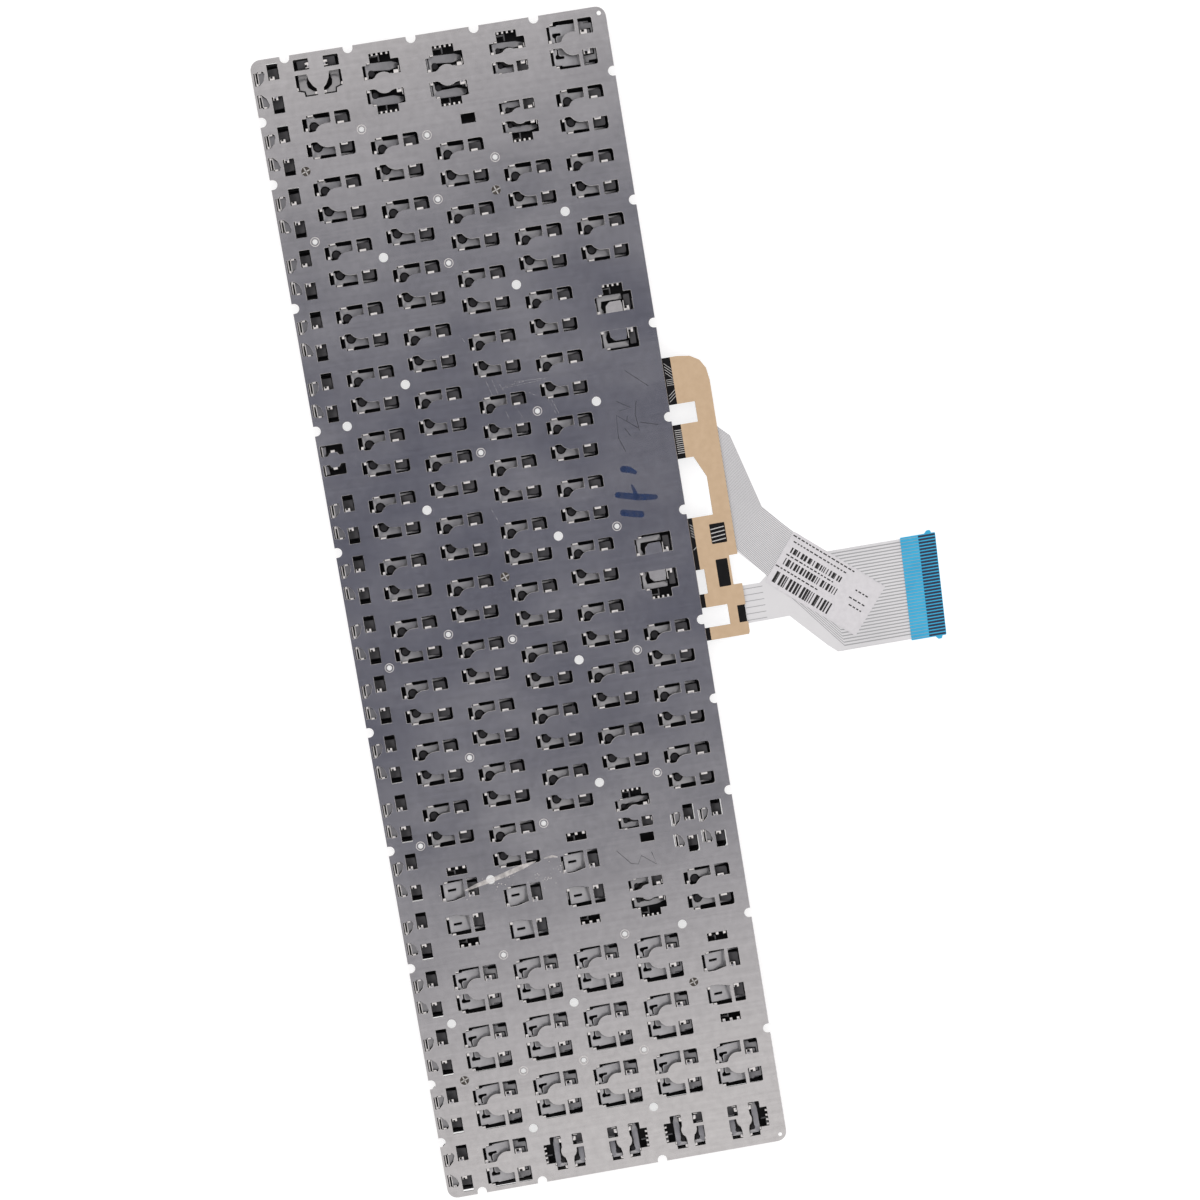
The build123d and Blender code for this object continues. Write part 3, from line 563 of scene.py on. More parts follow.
BARS = {"half": [(1.5, 4.9, 3.35, 0.16), (1.6, 5.0, 2.55, 0.12)], "small": [(1.4, 4.2, 3.0, 0.14)],
        "long": [(3.4, 5.6, -2.9, 0.14)], "wide": [(2.5, 4.2, -4.9, 0.12)],
        "narrow": [(2.0, 3.2, -4.9, 0.12)]}
# Patterns whose first tab gets a painted shade patch at the hook
SHADED_HOOK_PATTERNS = ("pad", "broad", "half", "turned", "long")
TOOTH_LINES = (2.2, 0.8, -0.6, -2.1)
TOOTH = (180, 0.55, 0.75, 0.35)
COMB_LINES = (1.9, -0.3, -2.5)
COMB_TOOTH = (180, 0.8, 0.9, 0.35)
COMB_HALF = 1.25
TAB_RECESS = 0.02
TAB_THICKNESS = 0.28

# Halves of the scissor frames: outer outline, its cuts, and the inner frame's foot
LETTER_ARM = outline((2.1, 5.65, .1), (6.0, 5.65, .2), (6.0, 3.4), (5.45, 3.2), (5.45, -1.8), (6.1, -2.2),
                     (6.1, -6.2, .2), (5.5, -6.2), (5.4, -2.1), (3.2, -1.8), (3.2, 2.2),
                     ("arc", 3.0, 3.75, 1.4, -50, 80), (2.1, 5.1))
LETTER_FOOT = outline((2.4, -2.5), (5.3, -2.5, .3), (5.35, -6.3, .7), (2.4, -6.3))
PAD_ARM = outline((1.0, 5.7, .1), (5.7, 5.7, .2), (5.7, 3.6), (6.0, 3.4), (6.0, -2.2), (6.3, -2.6),
                  (6.3, -6.2, .2), (5.7, -6.2), (5.7, -2.5), (2.9, -2.2), (2.9, -0.2), (0.6, 2.4), (0.6, 4.9),
                  (1.0, 5.0))
PAD_CUT = outline((3.75, 2.5, .35), (3.75, 5.1, .5), (2.8, 5.1, .4), (2.3, 4.5), (0.9, 4.4), (0.9, 4.05),
                  (2.5, 4.1, .2), (2.95, 3.7), (2.95, 2.5, .35))
# Darker patch on the middle of a pad frame's arm: painted shade
PAD_SHADE_PATCH = outline((0.7, 3.9), (2.5, 3.9), (2.85, 3.4), (2.85, 2.2), (3.3, 1.4), (3.2, -2.1), (2.95, -2.1),
                   (2.95, -0.3), (0.7, 2.45))
PAD_FOOT = outline((1.8, -2.6), (5.9, -2.6), (5.9, -4.3), (5.3, -4.5), (5.3, -6.8, .4), (1.8, -6.8))
PAD_FOOT_CUT = outline((3.8, -3.3), (3.8, -6.35, .2), (2.1, -6.35), (2.1, -6.0), (3.45, -6.0, .1),
                       (3.45, -3.3))
BROAD_ARM = outline((2.4, 4.75, .1), (7.6, 4.75, .2), (7.6, -2.0), (7.9, -2.3), (7.9, -6.0, .2), (7.2, -6.0),
                    (7.2, -2.3), (2.6, -2.0), (2.2, 1.8), (2.2, 4.1))
BROAD_CUT = pane(4.9, 5.6, 3.5, 1.0, .1, .1, .2, .2)
BROAD_FOOT = pane(2.4, 6.7, -2.3, -5.5, 0, .3, .4, 0)
WIDE_ARM = outline((1.6, 4.9, .1), (5.9, 4.9, .2), (6.2, 3.2), (6.2, -3.0), (5.5, -4.9, .3), (4.4, -4.9),
                   (3.6, -2.0), (3.9, 2.6), ("arc", 3.2, 3.3, 0.9, -30, 100), (1.6, 4.2, .1))
NARROW_ARM = outline((1.2, 4.5, .1), (4.1, 4.5, .2), (4.5, 3.0), (4.5, -2.6), (3.9, -4.9, .3), (2.9, -4.9),
                     (2.6, -1.5), (2.8, 2.2), ("arc", 2.3, 2.9, 0.7, -35, 110), (1.2, 3.7, .1))
LONG_ARM = outline((2.4, 4.8, .1), (7.4, 4.8, .2), (7.9, 3.6), (7.9, -2.6, .2), (6.2, -2.8), (6.2, 3.5),
                   (4.4, 3.8), (3.3, 3.2), (2.4, 3.2))
LONG_FOOT = pane(2.4, 7.4, -3.2, -5.0, 0, .3, .3, 0)
HALF_ARM = outline((1.4, 2.9, .1), (4.9, 2.7, .2), (5.1, 0.5), (4.2, 0.3), (2.4, 1.0), (1.4, 2.1))
HALF_FOOT = pane(2.0, 5.8, -0.1, -3.2, 0, .2, .3, 0)
SMALL_ARM = outline((1.0, 3.3), (4.1, 2.9), (4.1, 1.9), (1.0, 2.2))
TURNED_ARM = outline((1.1, 4.9, .1), (4.3, 4.9, .2), (4.5, 3.6), (6.0, 3.1), (6.0, -1.6), (3.0, -1.6),
                     (3.7, 1.2), (3.5, 2.6, .3), (2.2, 3.7), (1.1, 4.0))
TURNED_FOOT = pane(2.0, 5.6, -2.2, -5.2, 0, .2, .3, 0)
FRAMES = {
    "letter": (LETTER_ARM, [], LETTER_FOOT),
    "pad": (PAD_ARM, [PAD_CUT], PAD_FOOT),
    "broad": (BROAD_ARM, [BROAD_CUT], BROAD_FOOT),
    "wide": (WIDE_ARM, [], None),
    "narrow": (NARROW_ARM, [], LOWER_NARROW),
    "long": (LONG_ARM, [], LONG_FOOT),
    "half": (HALF_ARM, [], HALF_FOOT),
    "small": (SMALL_ARM, [], None),
    "turned": (TURNED_ARM, [], TURNED_FOOT),
}

# Stakes, notches and other small cuts of the plate
STAKE_RADIUS = 1.35
RINGED_RADIUS = 0.75
NOTCH_HALF_WIDTH = 1.4
NOTCH_STRAIGHT = 0.6
CORNER_RADIUS = 3.0
SPACE_NOTCHES = (-55.6, -22.2, 5.7, 33.9)
FILM_HOLES = [(-136.95, 41.65), (138.85, 41.65), (12.05, 4.05), (124.85, -12.35), (-119.05, -31.95)]
EXTRA_SLOTS = [(145.25, 148.05, -9.85, -5.65), (-73.95, -71.25, -27.25, -23.05)]
CORNER_HOLES = [(170.5, -50.5), (-170.5, -50.5)]
CORNER_HOLE_RADIUS = 0.65
FUNCTION_GAP = 9.2
ROW_GAP_SHIFT = -0.5
LOWER_GAP_SHIFT = 0.4
RING_PROFILE = [(1.15, -0.01), (1.19, 0.06), (1.27, 0.085), (1.35, 0.06), (1.39, -0.01)]
LIP_PROFILE = [(RINGED_RADIUS - 0.01, -0.12), (RINGED_RADIUS + 0.06, 0.01), (RINGED_RADIUS + 0.1, 0.005)]
# Plate slots: the lighter metal that paints highlights on bent parts, and the dark film that paints shade in
# the hooks' corners
HIGHLIGHT_SLOT, SHADE_SLOT = 1, 2


def between(first, second):
    return (KEYS[first].x + KEYS[second].x) / 2


def gap_y(row):
    return row_y(row) - ROW_PITCH / 2 + (LOWER_GAP_SHIFT if row == "lower" else ROW_GAP_SHIFT)


def stake_places():
    number_gap, upper_gap, home_gap, lower_gap = [gap_y(row) for row in ("number", "upper", "home", "lower")]
    function_gap = NUMBER_ROW_Y + FUNCTION_GAP
    pad_gaps = [PAD_EDGE] + [(a + b) / 2 for a, b in zip(PAD_COLUMNS, PAD_COLUMNS[1:])]
    plain = [(x, function_gap) for x in (between("f5", "f6"), pad_gaps[1])]
    plain += [(KEYS[name].x, number_gap) for name in ("3", "5", "7")]
    plain += [(KEYS["equals"].x - KEY_PITCH, number_gap), (pad_gaps[3], number_gap)]
    plain += [(pad_gaps[1], upper_gap), (pad_gaps[3], home_gap), (pad_gaps[0], lower_gap)]
    plain += [(KEYS[name].x, home_gap) for name in ("d", "j", "l", "quote")]
    plain += [(KEYS[name].x, lower_gap) for name in ("s", "g")]
    ringed = [(between(*pair), function_gap) for pair in (("f2", "f3"), ("f9", "f10"), ("f12", "insert"))]
    ringed += [(KEYS[name].x, number_gap) for name in ("1", "9", "minus")]
    ringed += [(between(*pair), upper_gap) for pair in ("as", "sd", "gh", "kl")]
    ringed += [(KEYS["a"].x + KEY_PITCH / 2, upper_gap), (KEYS["quote"].x - KEY_PITCH / 2, upper_gap)]
    ringed += [(pad_gaps[2], upper_gap)]
    ringed += [(KEYS[name].x, home_gap) for name in "ag"]
    ringed += [(KEYS[name].x, lower_gap) for name in ("j", "l", "quote")]
    ringed += [(x, y) for x in (pad_gaps[0], pad_gaps[2]) for y in (number_gap, home_gap)]
    return plain, ringed


PLAIN_STAKES, RINGED_STAKES = stake_places()


def notched_edge(places):
    # Points along one edge, as (distance along it, depth inwards)
    points = []
    for at in sorted(places):
        points += [(at - NOTCH_HALF_WIDTH, 0)]
        for index in range(9):
            angle = math.pi * index / 8
            points.append((at - NOTCH_HALF_WIDTH * math.cos(angle),
                           NOTCH_STRAIGHT + NOTCH_HALF_WIDTH * math.sin(angle)))
        points += [(at + NOTCH_HALF_WIDTH, 0)]
    return points


def plate_outline():
    top_pairs = [FUNCTION_NAMES[i:i + 2] for i in (0, 1, 3, 5, 7, 10, 12, 14, 16, 17)]
    bottom = [PAD_COLUMNS[1] - PAD_PITCH / 2, PAD_EDGE, between("left", "up"), KEYS["right_ctrl"].x]
    bottom += [KEYS["space"].x + shift for shift in SPACE_NOTCHES]
    bottom += [between("start", "left_alt"), between("left_ctrl", "fn")]
    gaps = [gap_y("number") + ROW_PITCH] + [gap_y(row) for row in ("number", "upper", "home", "lower")]
    x, y, r = PLATE_EDGE_X, -PLATE_EDGE_Y, CORNER_RADIUS
    points = []

    def corner(cx, cy, start):
        for index in range(7):
            angle = math.radians(start + 15 * index)
            points.append((cx + r * math.cos(angle), cy + r * math.sin(angle)))

    points += [(x - depth, at) for at, depth in notched_edge(gaps)]
    corner(x - r, y - r, 0)
    points += [(-at, y - depth) for at, depth in notched_edge([-between(*pair) for pair in top_pairs])]
    corner(r - x, y - r, 90)
    points += [(depth - x, -at) for at, depth in notched_edge([-gaps[i] for i in (0, 1, 3)])]
    corner(r - x, r - y, 180)
    points += [(at, depth - y) for at, depth in notched_edge(bottom)]
    corner(x - r, r - y, 270)
    return points


def seat_tab(shape, seat, tab):
    # Tab of sheet metal that leaves a window's edge and curls down
    x, y, direction, width, reach, drop = tab
    way = math.cos(math.radians(direction))
    upper = []
    lower = []
    for index in range(6):
        angle = math.pi / 2 * index / 5
        along = reach * math.sin(angle)
        level = -TAB_RECESS - drop * (1 - math.cos(angle))
        upper.append((along, level))
        lower.append((max(along - TAB_THICKNESS * math.sin(angle), 0),
                      level - TAB_THICKNESS * math.cos(angle)))
    profile = upper + lower[::-1]
    sides = []
    for across in (-width / 2, -width / 2 + 0.08, width / 2 - 0.08, width / 2):
        ease = 0.05 if abs(across) == width / 2 else 0
        sides.append([(*place(seat, x + way * along, y + across), level - ease) for along, level in profile])
    # The tab takes the lighter metal: painted highlight over its real reflections
    shape.solid(sides, HIGHLIGHT_SLOT)


def seat_bar(shape, seat, bar):
    # Half-round edge of bent metal along a slot
    x0, x1, y, radius = bar
    turns = [math.pi * k / 6 for k in range(7)]
    arcs = [[(*place(seat, x, y + radius * math.cos(turn)), radius * math.sin(turn) - radius - TAB_RECESS)
             for turn in turns] for x in (x0, x1)]
    # The edge takes the lighter metal: painted highlight
    shape.loft(arcs, HIGHLIGHT_SLOT, closed=False)


def hook_shade_patch(shape, seat, tab):
    # Painted shade: dark film on the curl of the hook's tab, standing in for the shaded corner where the
    # tongue was pressed out
    x, y, _, width, reach, drop = tab
    rows = []
    for share in (0.42, 0.6, 0.8, 0.95):
        level = -0.005 - drop * (1 - math.sqrt(1 - share ** 2))
        rows.append([(*place(seat, x + share * reach, y + across * width), level) for across in (-0.1, 0.36)])
    shape.loft(rows, SHADE_SLOT, closed=False)


def seat_ramp(shape, seat):
    # Part of the sheet that slopes down inside a long key's window
    def fall(x, y):
        return -RAMP_SLOPE * max(abs(x - seat.x) - RAMP_START, 0)

    shape.sheet(placed(seat, LONG_RAMP), [], -TAB_RECESS, -0.3, 0.05, lift=fall)


def comb_seats(name):
    return [SEATS[name][0]._replace(side=side) for side in (1, -1)]


def comb_outline(name):
    return pane(COMBS[name] - COMB_HALF, COMBS[name] + COMB_HALF, 2.8, -3.3, .1, .1, .1, .1)


def support_plate():
    shape = Shape()
    holes = []
    for name, seats in SEATS.items():
        for seat in seats:
            holes += [placed(seat, window) for window in seat_windows(seat)]
            for tab in TABS[seat.pattern]:
                seat_tab(shape, seat, tab)
            if seat.pattern in SHADED_HOOK_PATTERNS:
                hook_shade_patch(shape, seat, TABS[seat.pattern][0])
            for bar in BARS.get(seat.pattern, []):
                seat_bar(shape, seat, bar)
            if seat.pattern == "long":
                seat_ramp(shape, seat)
            if seat.half == "outer" and seat.pattern in COMB_TEETH:
                for line in TOOTH_LINES:
                    seat_tab(shape, seat, (COMB_TEETH[seat.pattern], line, *TOOTH))
        if name in COMBS:
            for seat in comb_seats(name):
                holes.append(placed(seat, comb_outline(name)))
                for line in COMB_LINES:
                    seat_tab(shape, seat, (COMBS[name] + COMB_HALF, line, *COMB_TOOTH))
    for places, radius in ((PLAIN_STAKES + FILM_HOLES, STAKE_RADIUS), (RINGED_STAKES, RINGED_RADIUS),
                           (CORNER_HOLES, CORNER_HOLE_RADIUS)):
        holes += [circle(x, y, radius) for x, y in places]
    holes += [box(*slot) for slot in EXTRA_SLOTS]
    shape.sheet(plate_outline(), holes, 0, PLATE_FRONT, 0.07)
    shape.piece("plate", [METAL, HIGHLIGHT_METAL, FILM], replaces=["support_plate"], finish="plate_metal", smooth=35)


def stake_rings():
    # Embossed ring and bright lip round each small stake hole; the brightness is partly painted highlight in
    # the lighter metal
    shape = Shape()
    for x, y in RINGED_STAKES:
        for profile in (RING_PROFILE, LIP_PROFILE):
            shape.loft(round_loops(x, y, profile, 28))
    shape.piece("stake_rings", [HIGHLIGHT_METAL], finish="plate_metal", smooth=60)


# Membrane under the plate, with the flap at its long edge
FILM_TOP = PLATE_FRONT - 0.01
FILM_OVERLAP = 0.4
FILM_INSET = 0.25
STAKE_CLEARANCE = 0.3
FLAP_X = (-17.0, 68.4)
FLAP_END = PLATE_EDGE_Y - 12.9
FLAP_SLANT = 38.15
FLAP_OPENINGS = [(-13.15, -7.05, 7.8), (-2.95, 4.45, 2.6), (20.15, 38.15, 7.8), (48.25, 54.35, 7.8)]
# Printed lines by the plate's edge: count, place at the edge, place below it, step and width
FLAP_LINES = [(12, 39.8, 39.8, 0.62, 0.2), (5, 14.9, 13.0, 0.85, 0.16), (1, 10.6, 12.4, 0, 0.16),
              (3, 55.2, 57.0, 0.9, 0.16), (4, 60.2, 60.2, 0.55, 0.14), (4, 66.8, 64.6, -0.9, 0.14)]
FLAP_LINE_ENDS = (-52.9, -55.2)
OPENING_LINES = [(4, 12.2, 12.6, 1.2, 0.3)]
OPENING_LINE_ENDS = (-58.8, -63.0)


def contact_membrane():
    shape = Shape()
    holes = []
    for seat in ALL_SEATS:
        x0, x1, y0, y1 = span([point for window in seat_windows(seat) for point in window])
        y1 += 0.1
        if not seat.turn:
            y1 = min(y1, -PLATE_EDGE_Y - 0.6 - seat.y)
        holes.append(placed(seat, box(x0 - 0.15, x1 + 0.15, y0 - 0.1, y1)))
    for name in COMBS:
        holes += [placed(seat, comb_outline(name)) for seat in comb_seats(name)]
    holes += [circle(x, y, CORNER_HOLE_RADIUS + 0.25) for x, y in CORNER_HOLES]
    holes += [box(*slot) for slot in EXTRA_SLOTS]
    holes += [circle(x, y, STAKE_RADIUS + STAKE_CLEARANCE) for x, y in PLAIN_STAKES]
    holes += [circle(x, y, RINGED_RADIUS + STAKE_CLEARANCE) for x, y in RINGED_STAKES]
    shape.sheet(grown(ordered(plate_outline()), -FILM_INSET), holes, FILM_TOP, MEMBRANE_FRONT, 0.03)
    edge = PLATE_EDGE_Y + FILM_OVERLAP
    flap = flap_outline(edge, edge, FLAP_END) + [(FLAP_X[0], FLAP_END)]
    shape.sheet(outline(*flap), [], FILM_TOP, MEMBRANE_FRONT, 0.03)
    for x, y in FILM_HOLES:
        shape.cap(levelled(circle(x, y, STAKE_RADIUS + 0.05), PLATE_FRONT), 1)
        for turn in (20, 110):
            way = Vector((math.cos(math.radians(turn)), math.sin(math.radians(turn)))) * 1.3
            strip(shape, [(x - way.x, y - way.y), (x + way.x, y + way.y)], 0.35, PLATE_FRONT + 0.01, 2)
    shape.piece("membrane", [FILM, BROWN, TRACE], replaces=["contact_membrane"], finish="membrane_film")


def strip(shape, points, width, level, slot=0, rounded=False):
    # Flat band along a line; width may be a list, and level a function of the place
    height = level if callable(level) else (lambda x, y: level)
    line = [Vector(p) for p in points]
    halves = [w / 2 for w in (width if isinstance(width, list) else [width] * len(line))]
    left = []
    right = []
    for index, here in enumerate(line):
        before = line[max(index - 1, 0)]
        after = line[min(index + 1, len(line) - 1)]
        way = (after - before).normalized()
        half = halves[index]
        left.append((here.x - way.y * half, here.y + way.x * half))
        right.append((here.x + way.y * half, here.y - way.x * half))
    if rounded:
        for index, sign in ((0, -1), (-1, 1)):
            here = line[index]
            half = halves[index]
            way = (line[1] - line[0] if index == 0 else line[-1] - line[-2]).normalized() * sign
            side = Vector((-way.y, way.x))
            cap = [here + side * half * math.cos(a) + way * half * math.sin(a)
                   for a in [math.pi * k / 8 for k in range(9)]]
            shape.cap([(p.x, p.y, height(p.x, p.y)) for p in cap], slot)
    shape.loft([[(x, y, height(x, y)) for x, y in edge] for edge in (left, right)], slot, closed=False)


def flap_traces():
    shape = Shape()
    for groups, (high, low) in ((FLAP_LINES, FLAP_LINE_ENDS), (OPENING_LINES, OPENING_LINE_ENDS)):
        for count, upper, lower, step, width in groups:
            for shift in [step * index for index in range(count)]:
                strip(shape, [(upper + shift, high), (lower + shift, low)], width, PLATE_FRONT + 0.02)
    shape.piece("flap_traces", [TRACE], finish="membrane_film")


# Scissor frames
OUTER_TOP = (5.5, -0.72)
OUTER_SLOPE = 0.19
INNER_TOP = (-5.0, -0.86)
INNER_SLOPE = 0.26
LINK_THICKNESS = 0.55
FOOT_THICKNESS = 0.25
PLATE_PIVOT = -1.25
CAP_PIVOT = -3.35
ROD_RADIUS = 0.35
SLIDING_ROD_RADIUS = 0.26
ARM_INNER = 2.2
ARM_OUTER = 3.0
PLATE_ROD_HALF = 3.7
OUTER_HINGE, OUTER_END = 5.4, -5.8
INNER_HINGE, INNER_END = 3.9, -4.1
OUTER_HINGE_HALF, OUTER_END_HALF, INNER_HINGE_HALF = 5.9, 6.0, 4.7
ARM_MIDDLE = (-0.1, -2.15)
ARM_FALL = 0.2625
ARM_THICKNESS = 0.4
FLAT_SLOPE = 0.1
# Painted shade patches: how far the pad arms' dark patch and the near-black pivot discs stand above the arm,
# and the discs by pattern as x, y and radius
SHADE_PATCH_RISE = 0.03
PIVOT_SHADE_DISCS = {"letter": (3.0, 3.75, 1.1), "wide": (3.1, 3.2, 0.9), "narrow": (2.2, 2.8, 0.7)}
OUTER_FINISHES = [LINK, PIVOT_SHADE, LIT_PAD_LINK, PAD_SHADE]
INNER_FINISHES = [SHADED_LINK, PAD_SHADE]


def seat_frames(outer, inner, seat):
    arm, cuts, foot = FRAMES[seat.pattern]
    if seat.pattern == "narrow" and seat.half == "outer":
        foot = None
    slope = OUTER_SLOPE if arm[0][1] > 4 else FLAT_SLOPE

    def local_y(x, y):
        return seat.x - x if seat.turn else y - seat.y

    def outer_lift(x, y):
        return OUTER_TOP[1] - slope * (OUTER_TOP[0] - local_y(x, y))

    def inner_lift(x, y):
        return INNER_TOP[1] - INNER_SLOPE * max(local_y(x, y) - INNER_TOP[0], 0)

    def outer_part(points, holes, top, ease, finish):
        outer.sheet(placed(seat, points), [placed(seat, hole) for hole in holes], top, -LINK_THICKNESS, ease,
                    OUTER_FINISHES.index(finish), lift=outer_lift)

    # Pad and broad seats take the lit copy of the link plastic, as painted light
    light = seat.pattern in ("pad", "broad") or seat.key.startswith("pad_")
    outer_part(arm, cuts, 0, 0.1, LIT_PAD_LINK if light else LINK)
    foot_cuts = []
    # The inner frame's foot takes the shaded copy of the link plastic, as painted shade
    foot_finish = SHADED_LINK
    if seat.pattern == "pad":
        # Painted shade: a darker patch on the pad arm, and the shaded plastic on the pad foot
        outer_part(PAD_SHADE_PATCH, [], SHADE_PATCH_RISE, 0.1, PAD_SHADE)
        foot_cuts = [placed(seat, PAD_FOOT_CUT)]
        foot_finish = PAD_SHADE
    if foot:
        inner.sheet(placed(seat, foot), foot_cuts, 0, -FOOT_THICKNESS, 0.08,
                    INNER_FINISHES.index(foot_finish), lift=inner_lift)
    # Near-black disc at the pivot: painted shade
    if seat.pattern in PIVOT_SHADE_DISCS:
        outer_part(circle(*PIVOT_SHADE_DISCS[seat.pattern]), [], SHADE_PATCH_RISE, 0.15, PIVOT_SHADE)


def rod(shape, x, half, y, z, radius):
    shape.solid([[(end, py, pz) for py, pz in circle(y, z, radius, 12)] for end in (x - half, x + half)])


def link_rods(outer, inner, x, y):
    # Hinge rods of a set that folds, and the inner frame's side arms
    def slope(_, at):
        return ARM_MIDDLE[1] - ARM_FALL * (at - y - ARM_MIDDLE[0])

    rod(outer, x, OUTER_HINGE_HALF, y + OUTER_HINGE, PLATE_PIVOT, ROD_RADIUS)
    rod(outer, x, OUTER_END_HALF, y + OUTER_END, CAP_PIVOT, SLIDING_ROD_RADIUS)
    rod(inner, x, INNER_HINGE_HALF, y + INNER_HINGE, CAP_PIVOT, ROD_RADIUS)
    rod(inner, x, PLATE_ROD_HALF, y + INNER_END, PLATE_PIVOT, ROD_RADIUS)
    for side in (1, -1):
        arm = box(x + side * ARM_INNER, x + side * ARM_OUTER, y + INNER_END, y + INNER_HINGE)
        inner.sheet(arm, [], 0, -ARM_THICKNESS, 0.1, lift=slope)


def scissor_links():
    fixed_outer = Shape()
    fixed_inner = Shape()
    for name, seats in SEATS.items():
        linked = name in LINKED_KEYS
        outer = Shape() if linked else fixed_outer
        inner = Shape() if linked else fixed_inner
        for seat in seats:
            seat_frames(outer, inner, seat)
        if linked:
            for seat in seats[::2]:
                link_rods(outer, inner, seat.x, seat.y)
            # Inner frames of linked keys take the shaded copy of the link plastic: painted shade
            for side, shape, used in (("outer", outer, OUTER_FINISHES[:3]), ("inner", inner, [SHADED_LINK])):
                link = f"{side}_link_{name}"
                shape.piece(link, used, link, [f"scissor_{side}_{name}"], "link_plastic", 40)
    fixed_outer.piece("fixed_outer_links", OUTER_FINISHES, finish="link_plastic", smooth=40)
    fixed_inner.piece("fixed_inner_links", INNER_FINISHES, finish="link_plastic", smooth=40)


# Key tops and domes
CAP_PROFILE = ((CAP_INNER, 1.0, 0.5), (CAP_RIM, 0.8, 0.6), (CAP_RIM, 0.1, 1.0), (CAP_RIM - 0.1, 0.0, 1.0),
               (-4.3, 0.22, 1.0), (-4.55, 0.34, 1.0), (CAP_TOP + 0.02, 0.62, 1.0), (CAP_TOP, 1.1, 0.9))
DOME_PROFILE = ((2.9, MEMBRANE_FRONT), (2.9, MEMBRANE_FRONT - 0.15), (2.3, MEMBRANE_FRONT - 0.25),
                (1.5, -2.6), (1.25, -3.0), (1.2, CAP_INNER))


def rounded_box(x, y, width, depth, radius):
    points = []
    for cx, cy, start in ((1, 1, 0), (-1, 1, 90), (-1, -1, 180), (1, -1, 270)):
        for index in range(5):
            angle = math.radians(start + 22.5 * index)
            points.append((x + cx * (width / 2 - radius) + radius * math.cos(angle),
                           y + cy * (depth / 2 - radius) + radius * math.sin(angle)))
    return points


def key_top(shape, key):
    loops = []
    for level, inset, radius in CAP_PROFILE:
        width, depth = key.width - 2 * inset, key.depth - 2 * inset
        loops.append(levelled(rounded_box(key.x, key.y, width, depth, radius), level))
    shape.solid(loops)


def key_tops():
    groups = {"function_row_keycaps": FUNCTION_NAMES}
    for row, names in ROW_NAMES.items():
        fixed = [name for name in names if name not in LINKED_KEYS and name != "up_down"]
        if row == "bottom":
            fixed += ["up", "down"]
        if fixed:
            groups[f"{row}_row_keycaps"] = fixed
    groups["number_pad_keycaps"] = [name for name in KEYS if name.startswith("pad_")]
    for node, names in groups.items():
        shape = Shape()
        for name in names:
            key_top(shape, KEYS[name])
        shape.piece(f"{node}_rounded", [CAP], replaces=[node], finish="cap_plastic", smooth=50)
    for name in LINKED_KEYS:
        shape = Shape()
        key_top(shape, KEYS[name])
        shape.piece(f"key_top_{name}", [CAP], f"key_{name}", [f"keycap_{name}"], "cap_plastic", 50)


def rubber_domes():
    fixed = Shape()
    for name, seats in SEATS.items():
        shape = Shape() if name in LINKED_KEYS else fixed
        for seat in seats[::2]:
            shape.solid(round_loops(seat.x, seat.y, DOME_PROFILE, 20))
        if name in LINKED_KEYS:
            made = shape.piece(f"dome_{name}", [RUBBER], finish="dome_rubber", smooth=40)
            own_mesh(made)
    fixed.piece("fixed_domes", [RUBBER], replaces=["rubber_domes"], finish="dome_rubber", smooth=40)


# Liner, ribbon, stiffener and label
def flap_outline(near, far, end):
    # Liner or flap with its openings: near and far are the upper edges at its two ends
    x0, x1 = FLAP_X
    points = [(x0, near)]
    for a, b, depth in FLAP_OPENINGS:
        level = PLATE_EDGE_Y - depth
        if b == FLAP_SLANT:
            points += [(a, near), (a, level), (b - 6.5, level), (b, level + 3.0), (b, far)]
        else:
            top = far if a > FLAP_SLANT else near
            points += [(a, top), (a, level), (b, level), (b, top)]
    points += [(x1, far), (x1, end, 8.5), (7.35, end), (7.35, end + 2.6), (-1.55, end + 2.6), (-1.55, end)]
    return points


def adhesive_liner():
    shape = Shape()
    bottom = PLATE_EDGE_Y - 13.2
    points = flap_outline(PLATE_EDGE_Y - 1.4, PLATE_EDGE_Y - 2.5, bottom)
    points += [(-7.95, bottom), (-7.95, bottom + 2.6), (-13.15, bottom + 2.6), (-13.15, bottom),
               (FLAP_X[0], bottom, 1.0)]
    windows = [pane(-1.65, 6.65, -58.85, -62.4, .3, .3, .3, .3),
               pane(11.45, 17.45, -58.65, -63.25, .3, .3, .3, .3)]
    shape.sheet(outline(*points), windows, PLATE_FRONT + 0.12, PLATE_FRONT + 0.01, 0.02)
    shape.piece("liner", [KRAFT], replaces=["adhesive_liner"], finish="liner_paper")


BEND_START = PLATE_EDGE_Y - 14.5
BEND_END = PLATE_EDGE_Y - 44.5
RIBBON_HIGH = MEMBRANE_FRONT - 0.15
RIBBON_START = 13.1
FIRST_FOLD = ((8.1, 13.1), (20.2, 22.8))
SECOND_FOLD = ((-27.3, 41.5), (3.3, 39.1))
FIRST_RUN = (22.4, 6.1)
CHAMFER_SUM = 59.2
RIBBON_LINE_END = 63.0
RIBBON_LINE_WIDTHS = (0.15, 0.19, 0.34)


def drape(x, y):
    # Height of the ribbon's underside: level, a double bend, then the floor
    share = min(max((BEND_START - y) / (BEND_START - BEND_END), 0), 1)
    drop = 2 * share ** 2 if share < 0.5 else 1 - 2 * (1 - share) ** 2
    return RIBBON_HIGH + (CAP_TOP - RIBBON_HIGH) * drop


def over_ribbon(height):
    return lambda x, y: drape(x, y) + height


# Lines across the ribbon where its mesh bends
BEND_LINES = [((-60, BEND_START - k), (80, BEND_START - k)) for k in range(31)]


